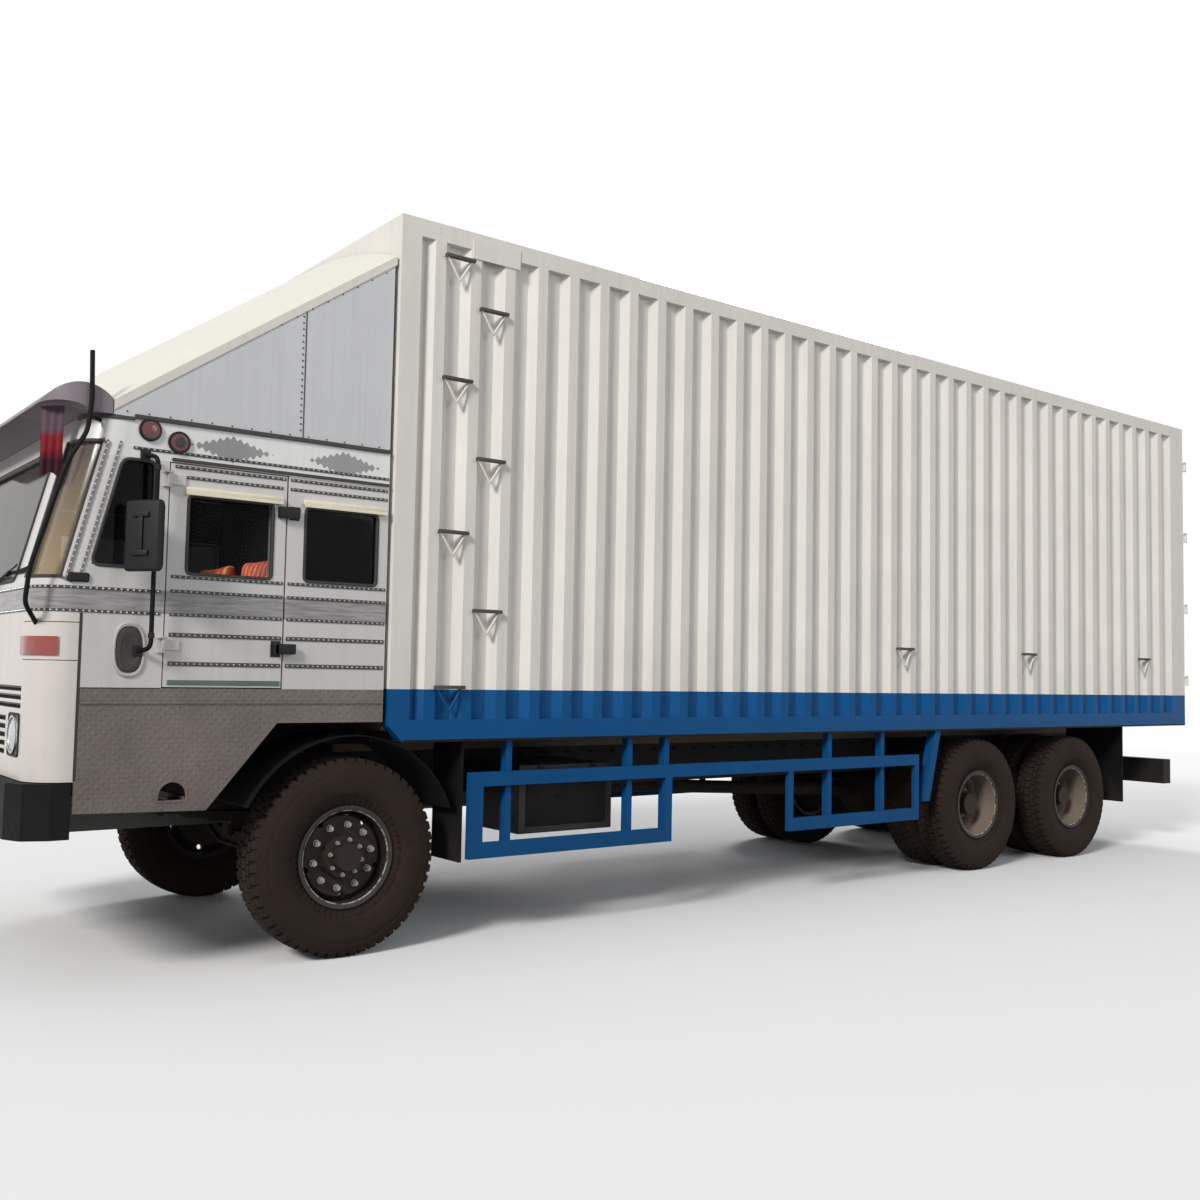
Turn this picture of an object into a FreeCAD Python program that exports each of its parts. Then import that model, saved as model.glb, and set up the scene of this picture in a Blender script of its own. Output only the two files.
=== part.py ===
import FreeCAD, Part
import math
import os

# Three-axle cowl-cab truck with an insulated box body.
# Millimetres. Front of the truck towards -X, its left side towards -Y, +Z up, ground at Z = 0.
# Longitudinal places are given as S, the distance behind the front axle.

V = FreeCAD.Vector

# Driving dimensions: wheels and axles
FRONT_AXLE_X = -3610.0
REAR_AXLE_S = (5560.0, 6930.0)
TYRE_R = 525.0
TYRE_HALF_W = 139.0
BEAD_R = 254.0
RIM_FLANGE_R = 270.0
FRONT_WHEEL_Y = 1030.0
KINGPIN_Y = 860.0
TWIN_Y = 895.0
TWIN_OFFSET = 160.0
SPINDLE_R = 40.0
REAR_SPINDLE_R = 45.0
KINGPIN_R = 25.0

# Driving dimensions: box body
BOX_FRONT_S = 180.0
BOX_REAR_S = 8840.0
BOX_HALF_W = 1220.0
BOX_TOP = 4035.0
BOX_BOTTOM = 1130.0
BOX_WALL = 85.0
POST_LEN = 125.0
REAR_POST_W = 105.0
BOTTOM_RAIL_TOP = 1250.0
TOP_RAIL_BOTTOM = BOX_TOP - 100
FLOOR_TOP = 1290.0
GROOVE_START_S = 461.5
GROOVE_PITCH = 234.4
GROOVE_LAST = 34
GROOVE_DEPTH = 42.0
GROOVE_SLOPE = 48.0
GROOVE_BED = 70.0

# Driving dimensions: cab
CAB_HALF_W = 1200.0
CAB_FRONT_S = -1600.0
CAB_REAR_S = 155.0
CAB_CORNER_R = 180.0
CAB_WALL = 50.0
CAB_BELT = 1880.0
CAB_RAKE = 0.2439
CAB_TOP = 2700.0
CAB_ROOF_T = 50.0
CAB_NOSE_BOTTOM = 980.0
CAB_FLOOR_TOP = 1412.0
CAB_FLOOR_T = 60.0
FRIEZE_BOTTOM = 2506.0
COWL_REAR_S = -1030.0
DOOR_FRONT_S = -1024.0
DOOR_REAR_S = -429.0
PILLAR_S = -420.0
WINDOW_BOTTOM = 1970.0
WINDOW_TOP = 2350.0
GLASS_T = 6.0

# Driving dimensions: chassis
RAIL_BOTTOM = 760.0
RAIL_TOP = 1030.0
RAIL_IN = 345.0
RAIL_OUT = 425.0
RAIL_FRONT_S = -1545.0
RAIL_REAR_S = 8500.0
SPRING_Y = 385.0
SPRING_PACK_LOW = 620.0

# Fits
SEAT_GAP = 0.3
RUNNING_FIT = 0.1
DOOR_GAP = 6.0


def at(s):
    """X of a place S behind the front axle."""
    return FRONT_AXLE_X + s


def box(s0, s1, y0, y1, z0, z1):
    return Part.makeBox(s1 - s0, y1 - y0, z1 - z0, V(at(s0), y0, z0))


def rod(start, end, radius):
    """Round bar between two points given as (s, y, z)."""
    a = V(at(start[0]), start[1], start[2])
    b = V(at(end[0]), end[1], end[2])
    return Part.makeCylinder(radius, (b - a).Length, a, b - a)


def bent_rod(points, radius):
    """Round bar through several points, with ball joints at its bends."""
    bars = [rod(a, b, radius) for a, b in zip(points, points[1:])]
    bends = [Part.makeSphere(radius, V(at(p[0]), p[1], p[2])) for p in points[1:-1]]
    return join(bars + bends)


def join(solids):
    whole = solids[0]
    if len(solids) > 1:
        whole = whole.fuse(solids[1:])
    return whole.removeSplitter()


def side_plate(outline, y0, y1):
    """Plate with an (s, z) outline, from y0 to y1."""
    points = [V(at(s), y0, z) for s, z in outline]
    face = Part.Face(Part.makePolygon(points + points[:1]))
    return face.extrude(V(0, y1 - y0, 0))


def plan_plate(outline, z0, z1):
    """Plate with an (s, y) outline, from z0 to z1."""
    points = [V(at(s), y, z0) for s, y in outline]
    face = Part.Face(Part.makePolygon(points + points[:1]))
    return face.extrude(V(0, 0, z1 - z0))


def cross_bar(outline, s0, s1):
    """Bar with a (y, z) outline, from s0 to s1."""
    points = [V(at(s0), y, z) for y, z in outline]
    face = Part.Face(Part.makePolygon(points + points[:1]))
    return face.extrude(V(s1 - s0, 0, 0))


def lathe(profile, s, y, z, outward):
    """Solid turned about the wheel axis from (radius, offset) points; outward is -1 on the left."""
    points = [V(r, outward * offset, 0) for r, offset in profile]
    face = Part.Face(Part.makePolygon(points + points[:1]))
    turned = face.revolve(V(0, 0, 0), V(0, 1, 0), 360)
    turned.translate(V(at(s), y, z))
    return turned


def mirrored(shape):
    return shape.mirror(V(0, 0, 0), V(0, 1, 0))


def both_sides(shape):
    return [shape, mirrored(shape)]


def save(name, *solids):
    shape = solids[0]
    if len(solids) > 1:
        shape = Part.makeCompound(list(solids))
    for solid in shape.Solids:
        if not solid.isValid():
            print("not valid:", name)
    shape.exportStep("parts/" + name + ".step")
    print(name, len(shape.Solids), "solids", round(shape.Volume / 1e9, 4), "m3")


os.makedirs("parts", exist_ok=True)
SIDES = (("left", -1), ("right", 1))


# Wheels
def tyre(s, y, outward):
    half = [(BEAD_R + SEAT_GAP, 86), (272, 93), (335, 130), (420, TYRE_HALF_W), (497, 120), (TYRE_R, 96)]
    profile = half + [(r, -offset) for r, offset in reversed(half)]
    return lathe(profile, s, y, TYRE_R, outward)


HUB_BACK = 60.0
front_rim_profile = [
    (SPINDLE_R + RUNNING_FIT, -HUB_BACK), (120, -HUB_BACK), (120, 20), (205, 20), (242, -5),
    (242, -98), (262, -105), (RIM_FLANGE_R, -105), (RIM_FLANGE_R, -95), (BEAD_R, -88),
    (BEAD_R, 88), (RIM_FLANGE_R, 95), (RIM_FLANGE_R, 105), (262, 105), (242, 98),
    (242, 15), (212, 45), (120, 45), (110, 95), (75, 95), (70, 135), (0, 135),
    (0, 60), (SPINDLE_R + RUNNING_FIT, 60),
]
ring_in = TWIN_OFFSET - 105
ring_out = TWIN_OFFSET + 105
REAR_HUB_BACK = 150.0
inner_half = [
    (130, 14), (200, 14), (242, ring_in + 25), (242, ring_out - 7), (262, ring_out),
    (RIM_FLANGE_R, ring_out), (RIM_FLANGE_R, ring_out - 10), (BEAD_R, ring_out - 17),
    (BEAD_R, ring_in + 17), (RIM_FLANGE_R, ring_in + 10), (RIM_FLANGE_R, ring_in), (250, ring_in),
]
twin_rim_profile = [(REAR_SPINDLE_R + RUNNING_FIT, -REAR_HUB_BACK), (130, -REAR_HUB_BACK)]
twin_rim_profile += [(r, -offset) for r, offset in inner_half]
twin_rim_profile += [(205, 0)]
twin_rim_profile += list(reversed(inner_half))
twin_rim_profile += [
    (125, 110), (85, 110), (80, 190), (0, 190), (0, 130), (REAR_SPINDLE_R + RUNNING_FIT, 130),
]

HAND_HOLE_COUNT = 5
HAND_HOLE_R = 17.0
HAND_HOLE_AT_R = 212.0


def hand_holes(s, y, length):
    """Round tools for the holes in a wheel disc, spread evenly about the wheel axis."""
    holes = []
    for k in range(HAND_HOLE_COUNT):
        turn = 2 * math.pi * (k + 0.5) / HAND_HOLE_COUNT
        ds = HAND_HOLE_AT_R * math.sin(turn)
        z = TYRE_R + HAND_HOLE_AT_R * math.cos(turn)
        holes += [rod((s + ds, y - length / 2, z), (s + ds, y + length / 2, z), HAND_HOLE_R)]
    return holes


for side, out in SIDES:
    y = out * FRONT_WHEEL_Y
    save("front_tyre_" + side, tyre(0, y, out))
    front_rim = lathe(front_rim_profile, 0, y, TYRE_R, out)
    save("front_rim_" + side, front_rim.cut(hand_holes(0, y, 2 * TYRE_HALF_W)))
    for number, s in enumerate(REAR_AXLE_S, 1):
        pair = [tyre(s, out * (TWIN_Y + k * TWIN_OFFSET), out) for k in (-1, 1)]
        save("twin_tyres_%s_%d" % (side, number), *pair)
        twin_rims = lathe(twin_rim_profile, s, out * TWIN_Y, TYRE_R, out)
        save("twin_rims_%s_%d" % (side, number),
             twin_rims.cut(hand_holes(s, out * TWIN_Y, 2 * TWIN_OFFSET)))

# Steering knuckles and front axle
EYE_HALF = 60.0
EYE_R = 50.0
YOKE_GAP = 0.5
FORK_R = 42.0
YOKE_T = 22.0
spindle_end = FRONT_WHEEL_Y + 60 - 5
for side, out in SIDES:
    pin = rod((0, out * KINGPIN_Y, TYRE_R - EYE_HALF - YOKE_GAP - YOKE_T),
              (0, out * KINGPIN_Y, TYRE_R + EYE_HALF + YOKE_GAP + YOKE_T), KINGPIN_R)
    parts = [pin]
    back_in = KINGPIN_Y + EYE_R + 8
    back_out = back_in + 18
    low = TYRE_R - EYE_HALF - YOKE_GAP - YOKE_T
    high = TYRE_R + EYE_HALF + YOKE_GAP
    for z in (low, high):
        disc = Part.makeCylinder(FORK_R, YOKE_T, V(at(0), out * KINGPIN_Y, z))
        arm = box(-FORK_R, FORK_R, *sorted((out * KINGPIN_Y, out * back_out)), z, z + YOKE_T)
        parts += [disc, arm]
    parts += [rod((0, out * back_in, TYRE_R), (0, out * back_out, TYRE_R), 185)]
    parts += [rod((0, out * back_in, TYRE_R), (0, out * spindle_end, TYRE_R), SPINDLE_R)]
    save("knuckle_" + side, join(parts))

# The front axle is a forged beam with a pocket in each face, so that its section is an I
AXLE_DROP_Y = 600.0
AXLE_LOW = 400.0
AXLE_HIGH = 505.0
AXLE_HALF_S = 45.0
POCKET_DEPTH = 26.0
POCKET_EDGE = 20.0
EYE_INNER_Y = KINGPIN_Y - 30


def across(outline):
    """An outline in (y, z) with its mirror image added to close it."""
    return outline + [(-y, z) for y, z in reversed(outline[1:-1])]


END_LOW = TYRE_R - EYE_HALF + 7
END_HIGH = TYRE_R + EYE_HALF - 7
neck_y = EYE_INNER_Y - 40
beam_half = [
    (0, AXLE_LOW), (AXLE_DROP_Y, AXLE_LOW), (neck_y, END_LOW), (EYE_INNER_Y, END_LOW),
    (EYE_INNER_Y, END_HIGH), (neck_y, END_HIGH), (AXLE_DROP_Y, AXLE_HIGH), (0, AXLE_HIGH),
]
pocket_half = [
    (0, AXLE_LOW + POCKET_EDGE), (AXLE_DROP_Y - 10, AXLE_LOW + POCKET_EDGE),
    (neck_y, END_LOW + POCKET_EDGE),
    (neck_y, END_HIGH - POCKET_EDGE), (AXLE_DROP_Y - 10, AXLE_HIGH - POCKET_EDGE),
    (0, AXLE_HIGH - POCKET_EDGE),
]
beam = cross_bar(across(beam_half), -AXLE_HALF_S, AXLE_HALF_S)
beam = beam.cut([
    cross_bar(across(pocket_half), -AXLE_HALF_S - 1, -AXLE_HALF_S + POCKET_DEPTH),
    cross_bar(across(pocket_half), AXLE_HALF_S - POCKET_DEPTH, AXLE_HALF_S + 1),
])
beam = [beam]
for y in (-KINGPIN_Y, KINGPIN_Y):
    beam += [Part.makeCylinder(EYE_R, 2 * EYE_HALF, V(at(0), y, TYRE_R - EYE_HALF))]
for y in (-SPRING_Y, SPRING_Y):
    beam += [box(-80, 80, y - 50, y + 50, AXLE_HIGH - 25, SPRING_PACK_LOW)]
beam = join(beam)
for y in (-KINGPIN_Y, KINGPIN_Y):
    bore = Part.makeCylinder(KINGPIN_R + RUNNING_FIT, 2 * EYE_HALF + 20,
                             V(at(0), y, TYRE_R - EYE_HALF - 10))
    beam = beam.cut(bore)
save("front_axle", beam)


def leaf(middle_s, half, z_low, thick, bow_r, y0, y1, bow=1):
    """One spring leaf: a long flat arc. bow is 1 where the ends stand high and -1 where they hang low."""
    rise_low = bow_r - math.sqrt(bow_r ** 2 - half ** 2)
    high_r = bow_r - bow * thick
    rise_high = high_r - math.sqrt(high_r ** 2 - half ** 2)
    ends = (V(at(middle_s - half), y0, z_low + bow * rise_low),
            V(at(middle_s + half), y0, z_low + bow * rise_low))
    tops = (V(at(middle_s - half), y0, z_low + thick + bow * rise_high),
            V(at(middle_s + half), y0, z_low + thick + bow * rise_high))
    edges = [
        Part.Arc(ends[0], V(at(middle_s), y0, z_low), ends[1]).toShape(),
        Part.makeLine(ends[1], tops[1]),
        Part.Arc(tops[1], V(at(middle_s), y0, z_low + thick), tops[0]).toShape(),
        Part.makeLine(tops[0], ends[0]),
    ]
    return Part.Face(Part.Wire(edges)).extrude(V(0, y1 - y0, 0))


# Front springs: the longest leaf on top, with rolled eyes that hang from brackets on the rails
LEAF_T = 18.0
FRONT_LEAF_HALF = (230, 360, 490, 620, 750)
FRONT_BOW_R = 9400.0
SPRING_EYE_R = 22.0
front_pack = []
for k, half in enumerate(FRONT_LEAF_HALF):
    low = SPRING_PACK_LOW + LEAF_T * k
    front_pack += [leaf(0, half, low, LEAF_T, FRONT_BOW_R - LEAF_T * k, RAIL_IN, RAIL_OUT)]
eye_z = SPRING_PACK_LOW + LEAF_T * 4.5 + FRONT_LEAF_HALF[-1] ** 2 / (2 * FRONT_BOW_R)
for s in (-FRONT_LEAF_HALF[-1], FRONT_LEAF_HALF[-1]):
    front_pack += [rod((s, RAIL_IN, eye_z), (s, RAIL_OUT, eye_z), SPRING_EYE_R)]
    front_pack += [box(s - 30, s + 30, RAIL_IN, RAIL_OUT, eye_z + 5, RAIL_BOTTOM)]

# Rear springs: packs turned over, clamped on a trunnion between the axles, their ends on pads
mid_s = sum(REAR_AXLE_S) / 2
half_base = (REAR_AXLE_S[1] - REAR_AXLE_S[0]) / 2
REAR_LEAF_T = 20.0
REAR_LEAF_HALF = (780, 640, 500, 360, 220)
REAR_BOW_R = 12200.0
REAR_SPRING_IN = 470.0
REAR_SPRING_OUT = 560.0
PAD_HALF = 60.0
PAD_BOTTOM = TYRE_R + 73.5
PAD_TOP = 640.0
bow_at_axle = half_base ** 2 / (2 * REAR_BOW_R)
rear_low = PAD_TOP + bow_at_axle - 2
rear_pack = []
for k, half in enumerate(REAR_LEAF_HALF):
    low = rear_low + REAR_LEAF_T * k
    rear_pack += [leaf(mid_s, half, low, REAR_LEAF_T, REAR_BOW_R + REAR_LEAF_T * k, REAR_SPRING_IN,
                       REAR_SPRING_OUT, -1)]
for s in REAR_AXLE_S:
    rear_pack += [box(s - PAD_HALF, s + PAD_HALF, REAR_SPRING_IN, REAR_SPRING_OUT, PAD_BOTTOM,
                      PAD_TOP + 1)]
rear_pack += [box(mid_s - 115, mid_s + 115, RAIL_OUT, REAR_SPRING_OUT, 570, rear_low + 1)]
bracket = [(mid_s - 90, 560), (mid_s + 90, 560), (mid_s + 150, 960), (mid_s - 150, 960)]
rear_pack += [side_plate(bracket, RAIL_OUT, REAR_SPRING_IN - 5)]
save("leaf_springs", *(both_sides(join(front_pack)) + both_sides(join(rear_pack))))

# Rear axles with brake drums
axle_half = [(75, 600), (190, 600), (190, 735), (REAR_SPINDLE_R, 735), (REAR_SPINDLE_R, TWIN_Y + 125)]
axle_profile = [(0, -TWIN_Y - 125)]
axle_profile += [(r, -offset) for r, offset in reversed(axle_half)]
axle_profile += [(75, -260), (190, -120), (190, 120), (75, 260)]
axle_profile += axle_half
axle_profile += [(0, TWIN_Y + 125)]
pad_y = (REAR_SPRING_IN + REAR_SPRING_OUT) / 2
pad_half_y = (REAR_SPRING_OUT - REAR_SPRING_IN) / 2 + 1
rear_axles = []
for s in REAR_AXLE_S:
    housing = lathe(axle_profile, s, 0, TYRE_R, 1)
    for y in (-pad_y, pad_y):
        housing = housing.cut(box(s - PAD_HALF - 1, s + PAD_HALF + 1, y - pad_half_y, y + pad_half_y,
                                  PAD_BOTTOM, PAD_TOP))
    rear_axles += [housing]
save("rear_axles", *rear_axles)

# Chassis frame: two channel rails and their crossmembers
CROSS_HALF = 50.0
FIRST_CROSS_S = RAIL_FRONT_S + CROSS_HALF + 5
LAST_CROSS_S = RAIL_REAR_S - CROSS_HALF
RAIL_WEB = 12.0
LIGHTENING_R = 38.0
rail = box(RAIL_FRONT_S, RAIL_REAR_S, RAIL_IN, RAIL_OUT, RAIL_BOTTOM, RAIL_TOP)
rail = rail.cut(box(RAIL_FRONT_S, RAIL_REAR_S, RAIL_IN, RAIL_OUT - RAIL_WEB, RAIL_BOTTOM + RAIL_WEB,
                    RAIL_TOP - RAIL_WEB))
frame = both_sides(rail)
for s in (FIRST_CROSS_S, 1000, 2200, 3400, 4600, mid_s, 7700, LAST_CROSS_S):
    cross = box(s - CROSS_HALF, s + CROSS_HALF, -RAIL_OUT + RAIL_WEB / 2, RAIL_OUT - RAIL_WEB / 2,
                RAIL_BOTTOM + 120, RAIL_TOP - 30)
    holes = [rod((s - 60, y, 940), (s + 60, y, 940), LIGHTENING_R) for y in (-220, 0, 220)]
    frame += [cross.cut(holes)]
for s in (FIRST_CROSS_S, LAST_CROSS_S):
    frame += [box(s - CROSS_HALF, s + CROSS_HALF, -RAIL_OUT + RAIL_WEB / 2, RAIL_OUT - RAIL_WEB / 2,
                  RAIL_BOTTOM, RAIL_BOTTOM + 120)]
save("chassis_frame", join(frame))

# Engine with gearbox, and the drive shafts
ENGINE_REAR_S = -150.0
GEARBOX_R = 170.0
GEARBOX_REAR_S = 420.0
engine = join([
    box(-1350, ENGINE_REAR_S, -310, 310, 640, 1300),
    rod((ENGINE_REAR_S - 10, 0, 850), (GEARBOX_REAR_S, 0, 850), GEARBOX_R),
])
save("engine", engine)
SHAFT_R = 50.0
YOKE_R = 68.0
DIFF_R = 190.0
gearbox_end = (GEARBOX_REAR_S - 20, 0, 832)
shaft_ends = [(REAR_AXLE_S[0] - 100, 0, 550), (REAR_AXLE_S[0] + 100, 0, 550),
              (REAR_AXLE_S[1] - 100, 0, 550)]
shafts = [
    join([rod(gearbox_end, shaft_ends[0], SHAFT_R), rod((520, 0, 825), (575, 0, 822), YOKE_R)]),
    join([rod(shaft_ends[1], shaft_ends[2], SHAFT_R),
          rod((mid_s - 30, 0, 550), (mid_s + 30, 0, 550), YOKE_R)]),
]
carriers = [box(300, GEARBOX_REAR_S, -200, 200, 600, 1100)]
carriers += [Part.makeCylinder(DIFF_R + SEAT_GAP, 240, V(at(s), -120, TYRE_R),
                               V(0, 1, 0)) for s in REAR_AXLE_S]
save("drive_shafts", *[shaft.cut(carriers) for shaft in shafts])

# Fuel tank on the right, battery box on the left
TANK_LEN = 1400.0
TANK_FRONT_S = 1150.0
TANK_TOP = 1000.0
TANK_OUT_Y = BOX_HALF_W - 140
TANK_IN_Y = RAIL_OUT + 45
tank = box(TANK_FRONT_S, TANK_FRONT_S + TANK_LEN, TANK_IN_Y, TANK_OUT_Y, 540, TANK_TOP)
tank = tank.makeFillet(90, [e for e in tank.Edges if abs(e.BoundBox.XLength - TANK_LEN) < 1])
BRACKET_W = 60.0
bracket_places = (TANK_FRONT_S + 150, TANK_FRONT_S + TANK_LEN - 150 - BRACKET_W)
brackets = [box(s, s + BRACKET_W, RAIL_OUT, TANK_IN_Y + 10, RAIL_BOTTOM + 20, TANK_TOP - 20)
            for s in bracket_places]
filler = rod((TANK_FRONT_S + 160, 900, TANK_TOP - 10), (TANK_FRONT_S + 160, 900, TANK_TOP + 35), 48)
save("fuel_tank", join([tank, filler] + brackets))
BATTERY_FRONT_S = 1150.0
BATTERY_LEN = 700.0
BATTERY_LID_Z = 930.0
LID_OVERHANG = 6.0
battery_rear = BATTERY_FRONT_S + BATTERY_LEN
battery_out = -BOX_HALF_W + 166
battery_in = -RAIL_OUT - 51
battery = [
    box(BATTERY_FRONT_S, battery_rear, battery_out, battery_in, 560, BATTERY_LID_Z + 5),
    box(BATTERY_FRONT_S - LID_OVERHANG, battery_rear + LID_OVERHANG, battery_out - LID_OVERHANG,
        battery_in + LID_OVERHANG, BATTERY_LID_Z, BATTERY_LID_Z + 35),
    box(BATTERY_FRONT_S + 100, battery_rear - 100, battery_in - 4, -RAIL_OUT, RAIL_BOTTOM + 20,
        BATTERY_LID_Z + 10),
]
save("battery_box", join(battery))

# Box body: floor, walls, roof and rear frame
REAR_WALL_S = BOX_REAR_S - POST_LEN
INNER_Y = BOX_HALF_W - BOX_WALL
FLOOR_BOTTOM = 1190.0
BEARER_HALF = 30.0
bearer_count = 18
floor = [box(BOX_FRONT_S, REAR_WALL_S, -INNER_Y, INNER_Y, FLOOR_BOTTOM, FLOOR_TOP)]
for k in range(bearer_count):
    s = BOX_FRONT_S + 120 + k * (REAR_WALL_S - BOX_FRONT_S - 240) / (bearer_count - 1)
    floor += [box(s - BEARER_HALF, s + BEARER_HALF, -INNER_Y, INNER_Y, BOX_BOTTOM, FLOOR_BOTTOM)]
floor += both_sides(box(BOX_FRONT_S + 60, REAR_WALL_S - 60, RAIL_IN, RAIL_OUT, RAIL_TOP, BOX_BOTTOM))
save("box_floor", join(floor))


def groove(start, y_face, inward):
    bed = y_face + inward * GROOVE_DEPTH
    mouth = y_face - inward * 1.0
    lead = GROOVE_SLOPE / GROOVE_DEPTH
    outline = [
        (start - lead, mouth), (start + GROOVE_SLOPE, bed), (start + GROOVE_SLOPE + GROOVE_BED, bed),
        (start + 2 * GROOVE_SLOPE + GROOVE_BED + lead, mouth),
    ]
    return plan_plate(outline, BOTTOM_RAIL_TOP, TOP_RAIL_BOTTOM)


FOOT_CHAMFER = 90.0


def side_wall():
    wall = box(BOX_FRONT_S, REAR_WALL_S, -BOX_HALF_W, -INNER_Y, BOX_BOTTOM, BOX_TOP)
    cuts = [groove(GROOVE_START_S + n * GROOVE_PITCH, -BOX_HALF_W, 1) for n in range(GROOVE_LAST + 1)]
    beside_post = groove(GROOVE_START_S - GROOVE_PITCH, -BOX_HALF_W, 1)
    post = box(BOX_FRONT_S - 200, BOX_FRONT_S + POST_LEN, -BOX_HALF_W - 50, -INNER_Y, BOX_BOTTOM, BOX_TOP)
    cuts += [beside_post.cut(post)]
    foot = [
        (BOX_FRONT_S - 1, BOX_BOTTOM - 1), (BOX_FRONT_S + FOOT_CHAMFER, BOX_BOTTOM - 1),
        (BOX_FRONT_S - 1, BOX_BOTTOM + FOOT_CHAMFER),
    ]
    cuts += [side_plate(foot, -BOX_HALF_W - 1, -INNER_Y + 1)]
    return wall.cut(cuts)


wall_left = side_wall()
save("box_side_left", wall_left)
save("box_side_right", mirrored(wall_left))
front_wall = box(BOX_FRONT_S, BOX_FRONT_S + BOX_WALL, -INNER_Y, INNER_Y, FLOOR_TOP, BOX_TOP)
save("box_front", front_wall)
ROOF_T = 80.0
roof = box(BOX_FRONT_S + BOX_WALL, REAR_WALL_S, -INNER_Y, INNER_Y, BOX_TOP - ROOF_T, BOX_TOP)
save("box_roof", roof)

# Rear frame with its hinge lugs
HEADER_BOTTOM = BOX_TOP - 120
PIN_S = BOX_REAR_S + 24
PIN_Y = BOX_HALF_W + 10
PIN_R = 8.0
KNUCKLE_R = 14.0
KNUCKLE_HALF = 30.0
LUG_GAP = 5.5
LUG_T = 10.0
HINGE_COUNT = 4
LOWEST_HINGE = FLOOR_TOP + 270
HIGHEST_HINGE = HEADER_BOTTOM - 255
HINGE_PITCH = (HIGHEST_HINGE - LOWEST_HINGE) / (HINGE_COUNT - 1)
HINGE_Z = [LOWEST_HINGE + k * HINGE_PITCH for k in range(HINGE_COUNT)]
portal_y = BOX_HALF_W - REAR_POST_W
portal = box(REAR_WALL_S, BOX_REAR_S, -BOX_HALF_W, BOX_HALF_W, BOX_BOTTOM, BOX_TOP)
portal = portal.cut(box(REAR_WALL_S - 1, BOX_REAR_S + 1, -portal_y, portal_y, FLOOR_TOP, HEADER_BOTTOM))
lugs = []
for z in HINGE_Z:
    low = z - KNUCKLE_HALF - LUG_GAP - LUG_T
    for z0 in (low, z + KNUCKLE_HALF + LUG_GAP):
        lugs += [box(BOX_REAR_S - 10, PIN_S, -PIN_Y - KNUCKLE_R, -BOX_HALF_W + 20, z0, z0 + LUG_T)]
        lugs += [Part.makeCylinder(KNUCKLE_R, LUG_T, V(at(PIN_S), -PIN_Y, z0))]
    lugs += [Part.makeCylinder(PIN_R, 2 * (z - low), V(at(PIN_S), -PIN_Y, low))]
lugs = join(lugs)
save("rear_frame", join([portal, lugs, mirrored(lugs)]))

# Rear doors with straps, lock bars, their guides and handles
DOOR_T = 80.0
MEETING_GAP = 7.0
STRAP_T = 16.0
STRAP_END_Y = -880.0
LOCK_BAR_R = 13.0
LOCK_BAR_S = BOX_REAR_S + 28
HANDLE_Z = 1898.0
leaf_edge = portal_y - DOOR_GAP
bar_low = FLOOR_TOP + 40
bar_high = HEADER_BOTTOM - 35
guide_z = [bar_low + 70, bar_low + 0.31 * (bar_high - bar_low), bar_low + 0.65 * (bar_high - bar_low),
           bar_high - 80]
leaf = [box(BOX_REAR_S - DOOR_T, BOX_REAR_S, -leaf_edge, -MEETING_GAP, FLOOR_TOP + DOOR_GAP,
            HEADER_BOTTOM - DOOR_GAP)]
for z in HINGE_Z:
    z0, z1 = z - KNUCKLE_HALF, z + KNUCKLE_HALF
    leaf += [box(BOX_REAR_S - 1, BOX_REAR_S + STRAP_T, -leaf_edge, STRAP_END_Y, z0, z1)]
    leaf += [box(BOX_REAR_S + 6, BOX_REAR_S + STRAP_T, -PIN_Y, -leaf_edge + 5, z0, z1)]
    leaf += [Part.makeCylinder(KNUCKLE_R, 2 * KNUCKLE_HALF, V(at(PIN_S), -PIN_Y, z0))]
for y in (-760, -260):
    leaf += [rod((LOCK_BAR_S, y, bar_low), (LOCK_BAR_S, y, bar_high), LOCK_BAR_R)]
    for z in guide_z:
        leaf += [box(BOX_REAR_S - 1, LOCK_BAR_S + 8, y - 30, y + 30, z - 30, z + 30)]
    leaf += [box(LOCK_BAR_S - 2, LOCK_BAR_S + 17, y - 10, y + 210, HANDLE_Z - 18, HANDLE_Z + 18)]
    leaf += [box(BOX_REAR_S - 1, LOCK_BAR_S + 4, y + 160, y + 200, HANDLE_Z - 23, HANDLE_Z + 23)]
leaf = join(leaf)
for z in HINGE_Z:
    leaf = leaf.cut(Part.makeCylinder(PIN_R + RUNNING_FIT, 4 * KNUCKLE_HALF,
                                      V(at(PIN_S), -PIN_Y, z - 2 * KNUCKLE_HALF)))
save("rear_door_left", leaf)
save("rear_door_right", mirrored(leaf))

# Steps and tie brackets on the box side: a flat rung with a V of round bar below it
STEP_DROP = 130.0
STEP_OUT = 32.0


def side_step(n, z):
    start = GROOVE_START_S + n * GROOVE_PITCH - 12
    end = start + 2 * GROOVE_SLOPE + GROOVE_BED + 24
    middle = (start + end) / 2
    y = -BOX_HALF_W - STEP_OUT / 2 + 2
    rung = box(start, end, -BOX_HALF_W - STEP_OUT, -BOX_HALF_W, z - 8, z + 8)
    vee = bent_rod([(start + 12, y, z), (middle, y, z - STEP_DROP), (end - 12, y, z)], 7)
    return join([rung, vee])


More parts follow.
